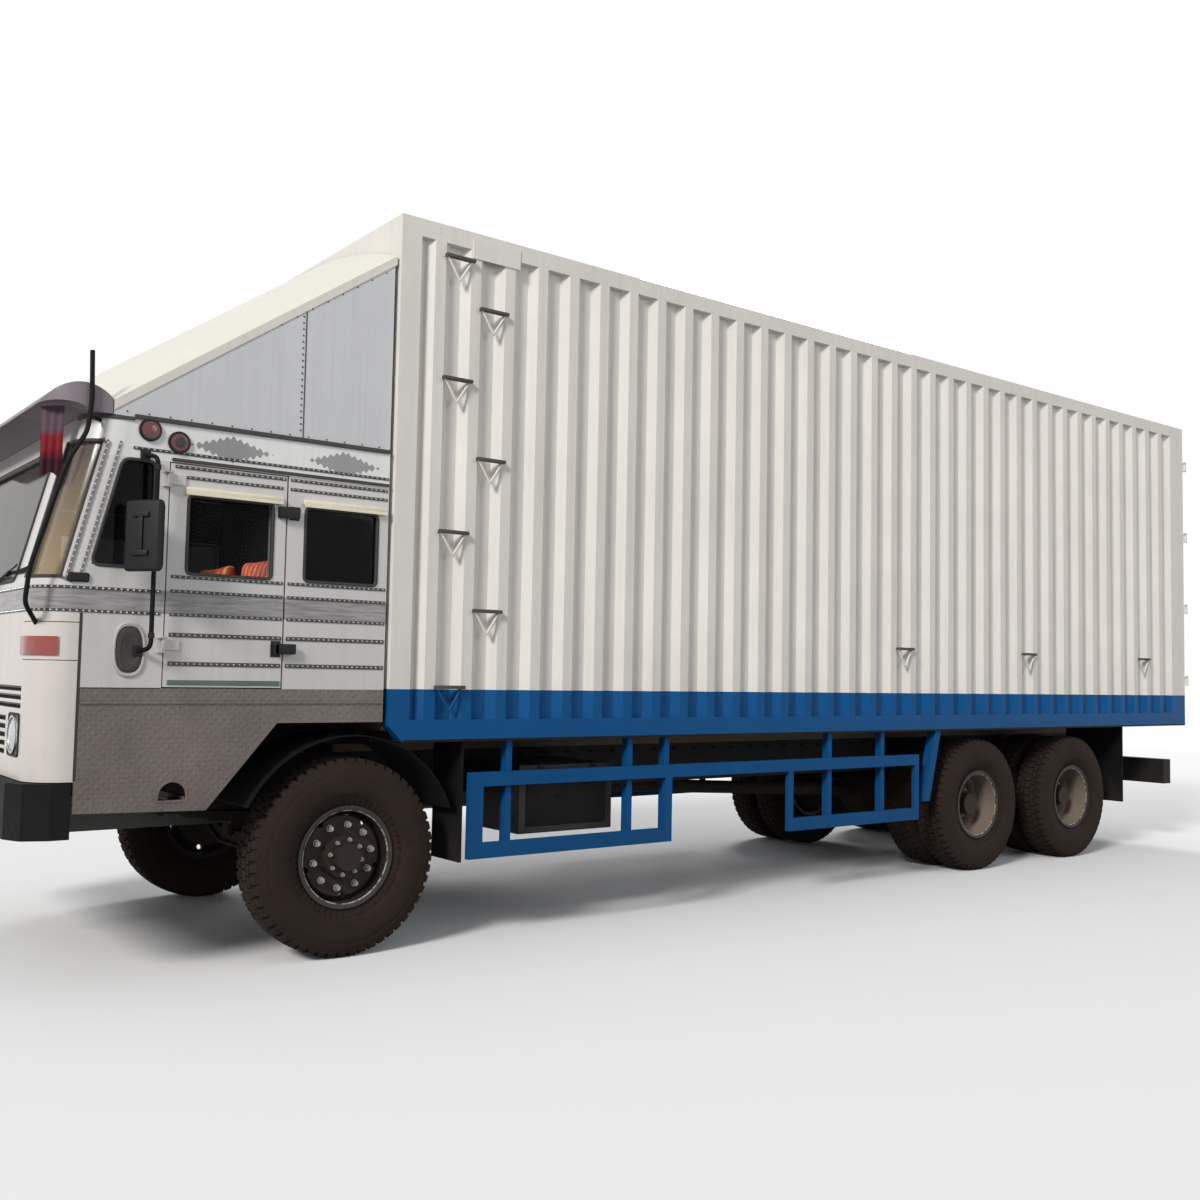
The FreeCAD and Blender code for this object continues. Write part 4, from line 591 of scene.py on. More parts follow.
def piece(name, bm, material, smooth=40.0, body="chassis", replaced=()):
    """Turn a bmesh into an object that rides on a body; smooth is the sharpest angle that is rounded off."""
    mesh = bpy.data.meshes.new(name)
    bm.to_mesh(mesh)
    bm.free()
    if smooth:
        mesh.shade_smooth()
        mesh.set_sharp_from_angle(angle=math.radians(smooth))
    mesh.materials.append(material)
    made = bpy.data.objects.new(name, mesh)
    scene.collection.objects.link(made)
    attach(made, body)
    if replaced:
        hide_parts(*replaced)
    print("made", name, sum(len(p.vertices) - 2 for p in mesh.polygons), "triangles")
    return made


def stamp(bm, part, matrix):
    """Add a copy of a small mesh, moved by a matrix."""
    moved = part.copy()
    moved.transform(matrix)
    bm.from_mesh(moved)
    bpy.data.meshes.remove(moved)


def template(build):
    """A mesh made once by a function that fills a bmesh."""
    bm = bmesh.new()
    build(bm)
    mesh = bpy.data.meshes.new("template")
    bm.to_mesh(mesh)
    bm.free()
    return mesh


def facing(place, direction):
    """A matrix that puts a part made along +Z at a place, looking along a direction."""
    return Matrix.Translation(place) @ Vector(direction).to_track_quat("Z", "Y").to_matrix().to_4x4()


def face_out(bm):
    bmesh.ops.recalc_face_normals(bm, faces=bm.faces[:])


print("piece tools ready")

# %% [markdown]
# ## Simple shapes
# Most fittings are blocks with softened edges, round bars or turned rings. One helper places a block on
# either side of the truck, with its width measured outwards, so left and right share their numbers. A
# strip or a seal is a skin between neighbouring rows of points that follow a path.

# %% Blocks, bars, rings and skins


def turned(bm, profile, steps, angle=math.tau):
    """Spin a profile of (radius, offset) points about the Y axis."""
    verts = [bm.verts.new((r, offset, 0)) for r, offset in profile]
    edges = [bm.edges.new(pair) for pair in zip(verts, verts[1:])]
    whole = abs(angle - math.tau) < 1e-6
    bmesh.ops.spin(bm, geom=verts + edges, cent=(0, 0, 0), axis=(0, 1, 0), angle=angle, steps=steps,
                   use_merge=whole)


def block(bm, low, high, width=0.003, segments=2):
    """A block between two corners, with its edges rounded by width."""
    made = bmesh.ops.create_cube(bm, size=1.0)
    bmesh.ops.scale(bm, vec=Vector(high) - Vector(low), verts=made["verts"])
    bmesh.ops.translate(bm, vec=(Vector(high) + Vector(low)) / 2, verts=made["verts"])
    if width:
        edges = list({e for v in made["verts"] for e in v.link_edges})
        bmesh.ops.bevel(bm, geom=edges, offset=width, segments=segments, profile=0.5, affect="EDGES", material=-1)


def side_block(bm, out, s, y, z, width=0.003, segments=2):
    """A block on one side of the truck: s behind the front axle, y outwards and z up, each as a pair."""
    ends = sorted((out * y[0], out * y[1]))
    block(bm, (at(s[0]), ends[0], z[0]), (at(s[1]), ends[1], z[1]), width, segments)


def round_bar(bm, start, end, radius, segments=12):
    start, end = Vector(start), Vector(end)
    bmesh.ops.create_cone(bm, cap_ends=True, segments=segments, radius1=radius, radius2=radius,
                          depth=(end - start).length, matrix=facing((start + end) / 2, end - start))


def stud(bm, foot, height, radius, top, segments):
    """A short round or many-sided stub that stands on Z = foot and may taper to its top."""
    bmesh.ops.create_cone(bm, cap_ends=True, segments=segments, radius1=radius, radius2=top, depth=height,
                          matrix=Matrix.Translation((0, 0, foot + height / 2)))


def skin(bm, rows, ring=False, closed=False):
    """Faces between neighbouring rows; ring joins the ends of each row, closed the last row and the first."""
    for row, ahead in zip(rows, rows[1:] + rows[:1] if closed else rows[1:]):
        for j in range(len(row) if ring else len(row) - 1):
            k = (j + 1) % len(row)
            bm.faces.new((row[j], ahead[j], ahead[k], row[k]))


def nut(bm, across, height):
    """A nut with a turned collar and the end of its stud."""
    stud(bm, 0, 0.005, across * 0.68, across * 0.68, 20)
    stud(bm, 0.005, height, across * 0.577, across * 0.577, 6)
    stud(bm, 0.005 + height, 0.012, across * 0.34, across * 0.30, 12)


wheel_nut = template(lambda bm: nut(bm, 0.027, 0.022))
small_bolt = template(lambda bm: nut(bm, 0.017, 0.009))
rivet = template(lambda bm: stud(bm, 0, 0.0025, 0.005, 0.005 * 0.45, 8))
bead = template(lambda bm: stud(bm, 0, 0.0032, 0.0058, 0.0034, 8))
print("nut, bolt, rivet and bead ready")

# %% [markdown]
# ## Tyres
# A truck tyre for the road has long ribs around the middle and short lugs on its shoulders. One pitch of
# the tread is a narrow slice of the tyre. Its section is spun through the angle of one pitch, and the
# faces that stand up as ribs and lugs are lifted off the base of the tread. The slice is then repeated
# round the axle and its seams are merged, which gives one whole tyre to stamp at all ten places.

# %% Tread and side walls
PITCHES = 54
COLUMNS = 6
GROOVE_DEPTH = 0.014
BEAD_R = 0.2545
HALF_WIDTH = 0.139
CROWN_HALF = 0.104
SIDE_WALL = [
    (BEAD_R, 0.086), (0.262, 0.089), (0.272, 0.0935), (0.290, 0.104), (0.312, 0.1165), (0.318, 0.1165),
    (0.322, 0.1215), (0.345, 0.1315), (0.375, 0.1375), (0.410, HALF_WIDTH), (0.440, 0.1375),
    (0.446, 0.1340), (0.452, 0.1345), (0.474, 0.1285), (0.492, 0.1195),
]
RIB_EDGES = (0.104, 0.074, 0.066, 0.034, 0.026)
WHEELS = [(side, out, k, x) for side, out in SIDES for k, x in enumerate([AXLE] + REAR_AXLES)]


def wheel_names(side, k):
    """A wheel's body and its tyre solid; k is 0 in front, 1 and 2 at the rear."""
    if k == 0:
        return "front_wheel_" + side, "front_tyre_" + side
    return "rear_wheel_%s_%d" % (side, k), "twin_tyres_%s_%d" % (side, k)


def crown_r(offset, depth):
    """Radius of the tread at an offset from the middle, slightly arched."""
    return TYRE_R - depth - 0.006 * (offset / CROWN_HALF) ** 2


def tread_pitch(bm):
    """One pitch: the base surface, then the ribs and lugs lifted to the tread surface."""
    half = SIDE_WALL + [(crown_r(y, GROOVE_DEPTH), y) for y in RIB_EDGES]
    turned(bm, half + [(r, -y) for r, y in reversed(half)], COLUMNS, math.tau / PITCHES)
    bm.normal_update()
    lifted = {"shoulder": [], "rib": [], "centre": []}
    for face in bm.faces:
        centre = face.calc_center_median()
        column = int((-math.atan2(centre.z, centre.x) % math.tau) / (math.tau / PITCHES / COLUMNS)) % COLUMNS
        width = abs(centre.y)
        if RIB_EDGES[1] < width < RIB_EDGES[0] + 0.008 and column not in (0, 1):
            lifted["shoulder"].append(face)
        elif RIB_EDGES[3] < width < RIB_EDGES[2] and column != (3 if centre.y > 0 else 5):
            lifted["rib"].append(face)
        elif width < RIB_EDGES[4] and column != 2:
            lifted["centre"].append(face)
    for faces in lifted.values():
        made = bmesh.ops.extrude_face_region(bm, geom=faces)
        tops = [v for v in made["geom"] if isinstance(v, bmesh.types.BMVert)]
        bmesh.ops.delete(bm, geom=faces, context="FACES")
        for v in tops:
            flat = math.hypot(v.co.x, v.co.z)
            wanted = crown_r(min(abs(v.co.y), CROWN_HALF), 0.0)
            if flat < crown_r(CROWN_HALF, GROOVE_DEPTH) - 0.002:
                wanted = flat + 0.006
            v.co.x *= wanted / flat
            v.co.z *= wanted / flat


pitch_mesh = template(tread_pitch)


def whole_tyre(bm):
    for k in range(PITCHES):
        stamp(bm, pitch_mesh, Matrix.Rotation(math.tau * k / PITCHES, 4, "Y"))
    bmesh.ops.remove_doubles(bm, verts=bm.verts[:], dist=0.0002)
    face_out(bm)


tyre_mesh = template(whole_tyre)
for side, out, k, x in WHEELS:
    body, solid = wheel_names(side, k)
    low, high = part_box(solid)
    bm = bmesh.new()
    for y in (low.y + HALF_WIDTH, high.y - HALF_WIDTH) if k else (middle(solid).y,):
        stamp(bm, tyre_mesh, Matrix.Translation((x, y, TYRE_R)))
    name = "tyres_rear_%s_%d" % (side, k) if k else "tyre_front_" + side
    piece(name, bm, tyre_rubber, 35, body, [solid])

# %% [markdown]
# ## Wheel nuts, hub bolts and rim edges
# Ten nuts hold each disc on a circle 335 mm across. A ring of small bolts closes the hub, and the worn
# edge of the rim shows bright metal. Each wheel's fittings are placed from the middle of its tyres.

# %% Fit the wheels out
NUT_CIRCLE_R = 0.1675
FRONT_LEVELS = {"disc": 0.0455, "hub": 0.0955, "hub_r": 0.0925, "lip": 0.105}
REAR_LEVELS = {"disc": 0.0145, "hub": 0.1105, "hub_r": 0.105, "lip": 0.265}
LIP = ((0.2418, -0.0075), (0.2430, -0.0060), (0.2620, 0.0008), (0.2708, 0.0008), (0.2708, -0.006))


def ring_of(bm, part, count, radius, centre, out):
    """Stamp a part at even steps round an axle, facing outwards."""
    for k in range(count):
        turn = math.tau * (k + 0.25) / count
        place = Vector(centre) + Vector((radius * math.sin(turn), 0, radius * math.cos(turn)))
        stamp(bm, part, facing(place, (0, out, 0)))


nut_metal = finish("nut_metal", rgb(168, 164, 160), roughness=0.4, metallic=0.7, mottle=0.3, all_over=0.4,
                   grain=40)
for side, out, k, x in WHEELS:
    levels = REAR_LEVELS if k else FRONT_LEVELS
    label = "rear%d_%s" % (k, side) if k else "front_" + side
    body, solid = wheel_names(side, k)
    centre = Vector((x, middle(solid).y, TYRE_R))
    bm = bmesh.new()
    ring_of(bm, wheel_nut, 10, NUT_CIRCLE_R, centre + Vector((0, out * levels["disc"], 0)), out)
    ring_of(bm, small_bolt, 8, levels["hub_r"], centre + Vector((0, out * levels["hub"], 0)), out)
    piece("nuts_" + label, bm, nut_metal, 30, body)
    bm = bmesh.new()
    lip = template(lambda part: turned(part, [(r, levels["lip"] + offset) for r, offset in LIP], 72))
    stamp(bm, lip, Matrix.Translation(centre) @ Matrix.Diagonal((1, out, 1, 1)))
    face_out(bm)
    stem = centre + Vector((0, out * 0.05, 0.228))
    round_bar(bm, stem, stem + Vector((0, out * 0.045, -0.006)), 0.005)
    piece("rim_edge_" + label, bm, rim_edge_paint, body=body)

# %% [markdown]
# ## Strips, beads and seals
# The cab is dressed with thin dark strips that carry rows of bright beads. A strip follows a path over the
# cab, and the beads are stamped along it. Rubber seals run round openings: the outline is given by its
# corners, which are rounded off, and a small section is carried round it.

# %% Tools for strips and seals
CAB_Y = 1.200
BELT_Z = 1.880
RAKE = 0.2439
FRONT_S = -1.600
CORNER_R = 0.180
STRIP_PROUD = 0.0045
BEAD_PITCH = 0.028
SEAL_SECTION = ((0.6, 0, -0.0005), (0.6, 0.6, 0), (0.35, 1, 0), (-0.15, 0.85, 0), (-0.4, 0.2, 0))


def front_at(z):
    """How far behind the axle the cab's front face lies at a height."""
    return FRONT_S + RAKE * max(0.0, z - BELT_Z)


def side_place(s, z, out, stand=0.0):
    return Vector((at(s), out * (CAB_Y + stand), z))


def flat_strip(bm, s0, s1, z, out, height=0.014, proud=STRIP_PROUD):
    side_block(bm, out, (s0, s1), (CAB_Y - 0.001, CAB_Y + proud), (z - height / 2, z + height / 2), 0.0015, 1)


def bead_row(bm, start, end, direction, pitch=BEAD_PITCH, part=bead):
    """Stamp beads from start to end, evenly and close to the pitch asked for."""
    start, end = Vector(start), Vector(end)
    count = max(1, round((end - start).length / pitch))
    for k in range(count):
        stamp(bm, part, facing(start.lerp(end, (k + 0.5) / count), direction))


def side_row(bm, out, start, end, y, pitch=BEAD_PITCH, part=rivet):
    """A row on one side of the truck between two (s, z) places, facing outwards."""
    ends = [(at(s), out * y, z) for s, z in (start, end)]
    bead_row(bm, ends[0], ends[1], (0, out, 0), pitch, part)


def eased(before, corner, after, radius, steps):
    """A corner of a path, replaced by a short curve."""
    reach = min(radius, (before - corner).length / 2.2, (after - corner).length / 2.2)
    start = corner + (before - corner).normalized() * reach
    end = corner + (after - corner).normalized() * reach
    turns = [k / steps for k in range(steps + 1)]
    return [start * (1 - t) ** 2 + corner * 2 * t * (1 - t) + end * t ** 2 for t in turns]


def seal(bm, corners, normal, width=0.016, proud=0.006, radius=0.025, sink=0.012):
    """A moulded strip round an opening, mostly outside its edge and with a lip down into it."""
    normal = Vector(normal).normalized()
    corners = [Vector(c) for c in corners]
    path = []
    for i, corner in enumerate(corners):
        path += eased(corners[i - 1], corner, corners[(i + 1) % len(corners)], radius, 5)
    centre = sum(path, Vector()) / len(path)
    section = [(u, share * proud + extra) for u, share, extra in SEAL_SECTION] + [(-0.4, -sink)]
    rows = []
    for i, place in enumerate(path):
        along = (path[(i + 1) % len(path)] - path[i - 1]).normalized()
        across = along.cross(normal).normalized()
        if across.dot(place - centre) < 0:
            across.negate()
        rows.append([bm.verts.new(place + across * width * u + normal * v) for u, v in section])
    skin(bm, rows, closed=True)
    face_out(bm)


def rectangle(u, v):
    """The corners of an upright rectangle, from its low and high values."""
    return ((u[0], v[0]), (u[1], v[0]), (u[1], v[1]), (u[0], v[1]))


print("strip and seal tools ready")

# %% [markdown]
# ## Cab side mouldings
# Five beaded strips run below the windows and two above them, broken at the door's edges so that each
# part moves with its own panel. A short green one stands at the foot of the door, and a cream drip strip
# shelters each window.

# %% Beaded strips on doors and sides
DOOR_SPAN = (-1.004, -0.436)
SHORT_DOOR_SPAN = (-0.945, -0.450)
REAR_SPAN = (-0.410, 0.146)
DRIP_SPANS = ((-0.950, -0.452), (-0.338, 0.140))
LOW_STRIPS = (1.950, 1.880, 1.767, 1.669, 1.530)
HIGH_STRIPS = (2.438, 2.486)
GREEN_Z = 1.440
strip_dark = finish("strip_dark", rgb(52, 50, 52), roughness=0.5, mottle=0.4, grain=120, all_over=0.25, bump=0.05)
strip_green = finish("strip_green", rgb(88, 112, 94), roughness=0.5, mottle=0.4, grain=120, all_over=0.2)
bead_metal = finish("bead_metal", rgb(164, 162, 160), roughness=0.4, metallic=0.6, mottle=0.3, all_over=0.3,
                    grain=40)
cream_paint = finish("cream_paint", rgb(238, 230, 204), roughness=0.4, mottle=0.1, streaks=0.12)
for side, out in SIDES:
    panels = (("door", "door_cab_" + side, DOOR_SPAN), ("side", "chassis", REAR_SPAN))
    for label, body, span in panels:
        strips, beads = bmesh.new(), bmesh.new()
        for z in LOW_STRIPS + HIGH_STRIPS:
            start, end = SHORT_DOOR_SPAN if label == "door" and z == HIGH_STRIPS[0] else span
            flat_strip(strips, start, end, z, out, height=0.015 if z >= STRIPE[0] else 0.020)
            side_row(beads, out, (start, z), (end, z), CAB_Y + STRIP_PROUD, part=bead)
        piece("strips_%s_%s" % (label, side), strips, strip_dark, body=body)
        piece("beads_%s_%s" % (label, side), beads, bead_metal, body=body)
    bm = bmesh.new()
    flat_strip(bm, *DOOR_SPAN, GREEN_Z, out, height=0.024)
    piece("green_strip_" + side, bm, strip_green, body="door_cab_" + side)
    for (label, body, _), span in zip(panels, DRIP_SPANS):
        bm = bmesh.new()
        side_block(bm, out, span, (CAB_Y, CAB_Y + 0.024), (2.3655, 2.3905), 0.004)
        side_block(bm, out, span, (CAB_Y + 0.019, CAB_Y + 0.024), (2.352, 2.370), 0.0015, 1)
        piece("drip_strip_%s_%s" % (label, side), bm, cream_paint, body=body)

# %% [markdown]
# ## Frieze, gutter and seams
# The roof's gutter is a dark strip over the whole cab side. A beaded strip closes the frieze below it, and
# the fairing's side panel has an upright riveted seam and rivets along its lower and upper edges.

# %% Gutter, frieze strip and riveted seams
ROOF_SPAN = (-1.205, 0.150)
GUTTER_SIDE_Z = 2.7015
FRIEZE_LINE = 2.552
DOOR_DRIP_Z = 2.518
SEAM_S = -0.366
FAIRING_Y = 1.196
FAIRING_FOOT = (-1.300, 2.770)
FAIRING_SLOPE = (3.794 - 2.770) / 1.465
gutter_dark = finish("gutter_dark", rgb(40, 38, 40), roughness=0.55, mottle=0.3, all_over=0.25)
seam_top = FAIRING_FOOT[1] + FAIRING_SLOPE * (SEAM_S - FAIRING_FOOT[0]) - 0.055
slope_top = 2.745 + FAIRING_SLOPE * 1.435 - 0.035
for side, out in SIDES:
    strips, beads, rivets, seam = bmesh.new(), bmesh.new(), bmesh.new(), bmesh.new()
    flat_strip(strips, *ROOF_SPAN, GUTTER_SIDE_Z, out, height=0.021, proud=0.012)
    flat_strip(strips, *ROOF_SPAN, FRIEZE_LINE, out)
    flat_strip(strips, -1.020, ROOF_SPAN[1], DOOR_DRIP_Z, out, height=0.015, proud=0.011)
    side_row(beads, out, (ROOF_SPAN[0], FRIEZE_LINE), (ROOF_SPAN[1], FRIEZE_LINE), CAB_Y + STRIP_PROUD, part=bead)
    side_row(rivets, out, (SEAM_S, 2.735), (SEAM_S, seam_top), FAIRING_Y, 0.034, bead)
    side_row(rivets, out, (-1.29, 2.722), (0.14, 2.722), FAIRING_Y, 0.10)
    side_row(rivets, out, (-1.29, 2.745), (0.145, slope_top), FAIRING_Y, 0.10)
    side_block(seam, out, (SEAM_S + 0.012, SEAM_S + 0.018), (FAIRING_Y, FAIRING_Y + 0.0015),
               (2.705, seam_top + 0.02), 0)
    piece("fairing_seam_" + side, seam, gutter_dark)
    piece("gutter_" + side, strips, gutter_dark)
    piece("frieze_beads_" + side, beads, bead_metal)
    piece("fairing_rivets_" + side, rivets, strip_dark)

# %% [markdown]
# ## Strips round the front
# Two beaded strips edge the silver stripe and run right round the front of the cab. Their path follows the
# cab's plan: along one side, round the corner and across the front to the other side. The gutter turns the
# upper corners, and thin dark joints mark the corner panels above and below the corner lamps.

# %% Belts that follow the cab's plan
CORNER_STEPS = 14
GUTTER_Z = 2.690
JOINT_S = -1.4005


def plan_path(s_rear, y_stop=None):
    """Places and outward directions along the cab's plan, from the left side round the left corner."""
    path = [((s_rear, -CAB_Y), (0, -1))]
    centre = (FRONT_S + CORNER_R, -CAB_Y + CORNER_R)
    for k in range(CORNER_STEPS + 1):
        turn = math.pi / 2 * k / CORNER_STEPS
        way = (-math.sin(turn), -math.cos(turn))
        path.append(((centre[0] + CORNER_R * way[0], centre[1] + CORNER_R * way[1]), way))
    if y_stop is not None:
        path.append(((FRONT_S, y_stop), (-1, 0)))
    return path


def mirrored(path):
    return [((s, -y), (ds, -dy)) for (s, y), (ds, dy) in path]


def raked(path, z):
    """The plan of the cab's face at a height where it leans back."""
    return [((s + RAKE * (z - BELT_Z), y), way) for (s, y), way in path]


def belt(bm, path, z, height, proud):
    """A strip that stands proud of the cab along a path in plan."""
    half = height / 2
    section = ((-0.0005, -half), (proud, 0.0015 - half), (proud, half - 0.0015), (-0.0005, half))
    rows = [[bm.verts.new((at(s + ds * stand), y + dy * stand, z + up)) for stand, up in section]
            for (s, y), (ds, dy) in path]
    skin(bm, rows)
    for row in (rows[0], rows[-1]):
        bm.faces.new(row)


def beads_along(bm, path, z, stand, pitch=BEAD_PITCH):
    """Beads at even steps along a path in plan, turning with it."""
    left_over = pitch / 2
    for ((s0, y0), d0), ((s1, y1), d1) in zip(path, path[1:]):
        length = math.hypot(s1 - s0, y1 - y0)
        while left_over < length:
            t = left_over / length
            way = Vector((d0[0] * (1 - t) + d1[0] * t, d0[1] * (1 - t) + d1[1] * t, 0)).normalized()
            place = Vector((at(s0 + (s1 - s0) * t), y0 + (y1 - y0) * t, z)) + way * stand
            stamp(bm, bead, facing(place, way))
            left_over += pitch
        left_over -= length


strips, beads = bmesh.new(), bmesh.new()
half_round = plan_path(-1.050, 0.0)
whole_round = half_round + mirrored(half_round[:-1])[::-1]
for z in (1.874, STRIPE[0]):
    belt(strips, whole_round, z, 0.014, STRIP_PROUD)
    beads_along(beads, whole_round, z, STRIP_PROUD)
face_out(strips)
piece("front_strips", strips, strip_dark)
piece("front_beads", beads, bright_metal)
joints_dark = finish("joints_dark", rgb(34, 32, 34), roughness=0.7, mottle=0.3, all_over=0.2)
bm = bmesh.new()
gutter_path = raked(plan_path(-1.400, -1.000), GUTTER_Z)
for path in (gutter_path, mirrored(gutter_path)):
    belt(bm, path, GUTTER_Z, 0.018, 0.010)
face_out(bm)
piece("gutter_front", bm, gutter_dark)
bm = bmesh.new()
corner_path = plan_path(-1.405, -0.985)
for path in (corner_path, mirrored(corner_path)):
    for z in (1.712, 1.536):
        belt(bm, path, z, 0.005, 0.0010)
for side, out in SIDES:
    flush = (CAB_Y - 0.001, CAB_Y + 0.0012)
    side_block(bm, out, (JOINT_S - 0.013, JOINT_S), flush, (0.984, 1.758), 0)
    side_block(bm, out, (JOINT_S, -1.034), flush, (1.4085, 1.4135), 0)
face_out(bm)
piece("corner_joints", bm, joints_dark)

# %% [markdown]
# ## Window seals
# Every pane sits in a rubber seal. The ones round the sloping front panes follow the cab's rake: the main
# pane has its own closed seal, and the corner panes are edged by two sloping bars and two short belts.

# %% Seals round the panes
DOOR_WINDOW = (-0.930, -0.500)
REAR_WINDOW = (-0.320, 0.090)
WINDOW_Z = (1.970, 2.350)
QUARTER_Z = (1.985, 2.495)
QUARTER_GAP = 0.202
QUARTER_END = -1.095
SCREEN_HALF = 0.72
SCREEN_Z = (1.925, 2.570)
POST_Y = 0.957
POST_Z = (1.918, 2.578)
SHORT_BELTS = (1.922, 2.573)
RAKE_NORMAL = Vector((-1, 0, RAKE)).normalized()
window_rubber = finish("window_rubber", rgb(24, 23, 24), roughness=0.6, mottle=0.3, grain=160, all_over=0.15,
                       bump=0.04)


def side_seal(bm, out, corners, **shape):
    seal(bm, [side_place(s, z, out) for s, z in corners], (0, out, 0), **shape)


def sloping_bar(bm, low, high, normal, width=0.022, proud=0.008):
    """A straight strip between two places, standing proud along its normal."""
    low, high, normal = Vector(low), Vector(high), Vector(normal).normalized()
    across = (high - low).normalized().cross(normal) * width / 2
    section = ((-1, -0.002), (-0.8, proud), (0.8, proud), (1, -0.002))
    rows = [[bm.verts.new(place + across * u + normal * v) for u, v in section] for place in (low, high)]
    skin(bm, rows, ring=True)
    for row in rows:
        bm.faces.new(row)


for side, out in SIDES:
    bm = bmesh.new()
    side_seal(bm, out, rectangle(DOOR_WINDOW, WINDOW_Z))
    piece("door_seal_" + side, bm, window_rubber, 50, "door_cab_" + side)
    bm = bmesh.new()
    side_seal(bm, out, rectangle(REAR_WINDOW, WINDOW_Z))
    low, high = QUARTER_Z
    quarter = ((front_at(low) + QUARTER_GAP, low), (QUARTER_END, low), (QUARTER_END, high),
               (front_at(high) + QUARTER_GAP, high))
    side_seal(bm, out, quarter, radius=0.04)
    piece("side_seals_" + side, bm, window_rubber, 50)
bm = bmesh.new()
screen = [(at(front_at(z)), y, z) for y, z in rectangle((-SCREEN_HALF, SCREEN_HALF), SCREEN_Z)]
seal(bm, screen, RAKE_NORMAL, width=0.026, proud=0.009, radius=0.05)
for side, out in SIDES:
    inner = [(at(front_at(z)), out * POST_Y, z) for z in POST_Z]
    outer = [(at(front_at(z) + 0.094), out * (CAB_Y - 0.028), z) for z in POST_Z]
    sloping_bar(bm, *inner, RAKE_NORMAL, width=0.034, proud=0.012)
    sloping_bar(bm, *outer, (-0.55, out, 0), width=0.014, proud=0.006)
face_out(bm)
for z in SHORT_BELTS:
    path = raked([step for step in plan_path(-1.507) if step[0][0] < -1.500], z)
    path.append(((front_at(z), -POST_Y), (-1, 0)))
    belt(bm, path, z, 0.016, 0.007)
    belt(bm, mirrored(path), z, 0.016, 0.007)
face_out(bm)
piece("screen_seals", bm, window_rubber)

# %% [markdown]
# ## Pillar strips
# Two narrow beaded strips run up the post between the corner pane and the side window.

# %% Beaded strips on the windscreen posts
POST_STRIPS = ((0.112, -0.004, -0.2), (0.168, 0.0, 0))
post_grey = finish("post_grey", rgb(118, 116, 120), roughness=0.5, mottle=0.3, grain=120, all_over=0.2)
bm, beads = bmesh.new(), bmesh.new()
for side, out in SIDES:
    for shift, stand, forwards in POST_STRIPS:
        ends = [side_place(front_at(z) + shift, z, out, stand) for z in (1.915, 2.575)]
        sloping_bar(bm, *ends, (forwards, out, 0), width=0.010, proud=0.005)
        raised = [end + Vector((0, out * 0.005, 0)) for end in ends]
        bead_row(beads, *raised, (0, out, 0), pitch=0.030)
face_out(bm)
piece("post_strips", bm, post_grey)
piece("post_beads", beads, bright_metal)

# %% [markdown]
# ## Small cab fittings
# Handles, window latches, the oval hatch ahead of the door, and rims for the round lamps. A hatch or a rim
# is an outline repeated at smaller scales and other heights, like a shallow dish.

# %% Handles, latches, hatch and lamp rims
HATCH = (-1.187, 1.592, 0.074, 0.130)
ROUND_LAMPS = ((-1.130, 2.645), (-0.990, 2.603))
DOOR_FITTINGS = (
    ((-0.4795, -0.4535), (0.0005, 0.0355), (1.5885, 1.6415), 0.005),
    ((-0.4800, -0.3645), (0.017, 0.0355), (1.5885, 1.6415), 0.005),
    ((-0.490, -0.4375), (0.0, 0.004), (1.574, 1.655), 0.0015),
    ((-0.476, -0.4375), (0.0, 0.018), (2.284, 2.342), 0.004),
    ((-0.474, -0.364), (0.014, 0.031), (2.284, 2.342), 0.004),
)


def oval(centre_s, centre_z, half_s, half_z, count=48, power=2.6):
    """An upright oval, a little squarer than an ellipse."""
    points = []
    for k in range(count):
        turn = math.tau * k / count
        c, s = math.cos(turn), math.sin(turn)
        grow = (abs(c) ** power + abs(s) ** power) ** (-1 / power)
        points.append((centre_s + half_s * grow * c, centre_z + half_z * grow * s))
    return points


def dish(bm, outline, out, levels):
    """An outline on the cab side, repeated as (scale, stand) says from the outside in, and closed."""
    cs, cz = [sum(p[i] for p in outline) / len(outline) for i in (0, 1)]
    rows = []
    for scale, stand in levels:
        places = [side_place(cs + (s - cs) * scale, cz + (z - cz) * scale, out, stand) for s, z in outline]
        rows.append([bm.verts.new(place) for place in places])
    skin(bm, rows, ring=True)
    bm.faces.new(rows[-1])
    face_out(bm)


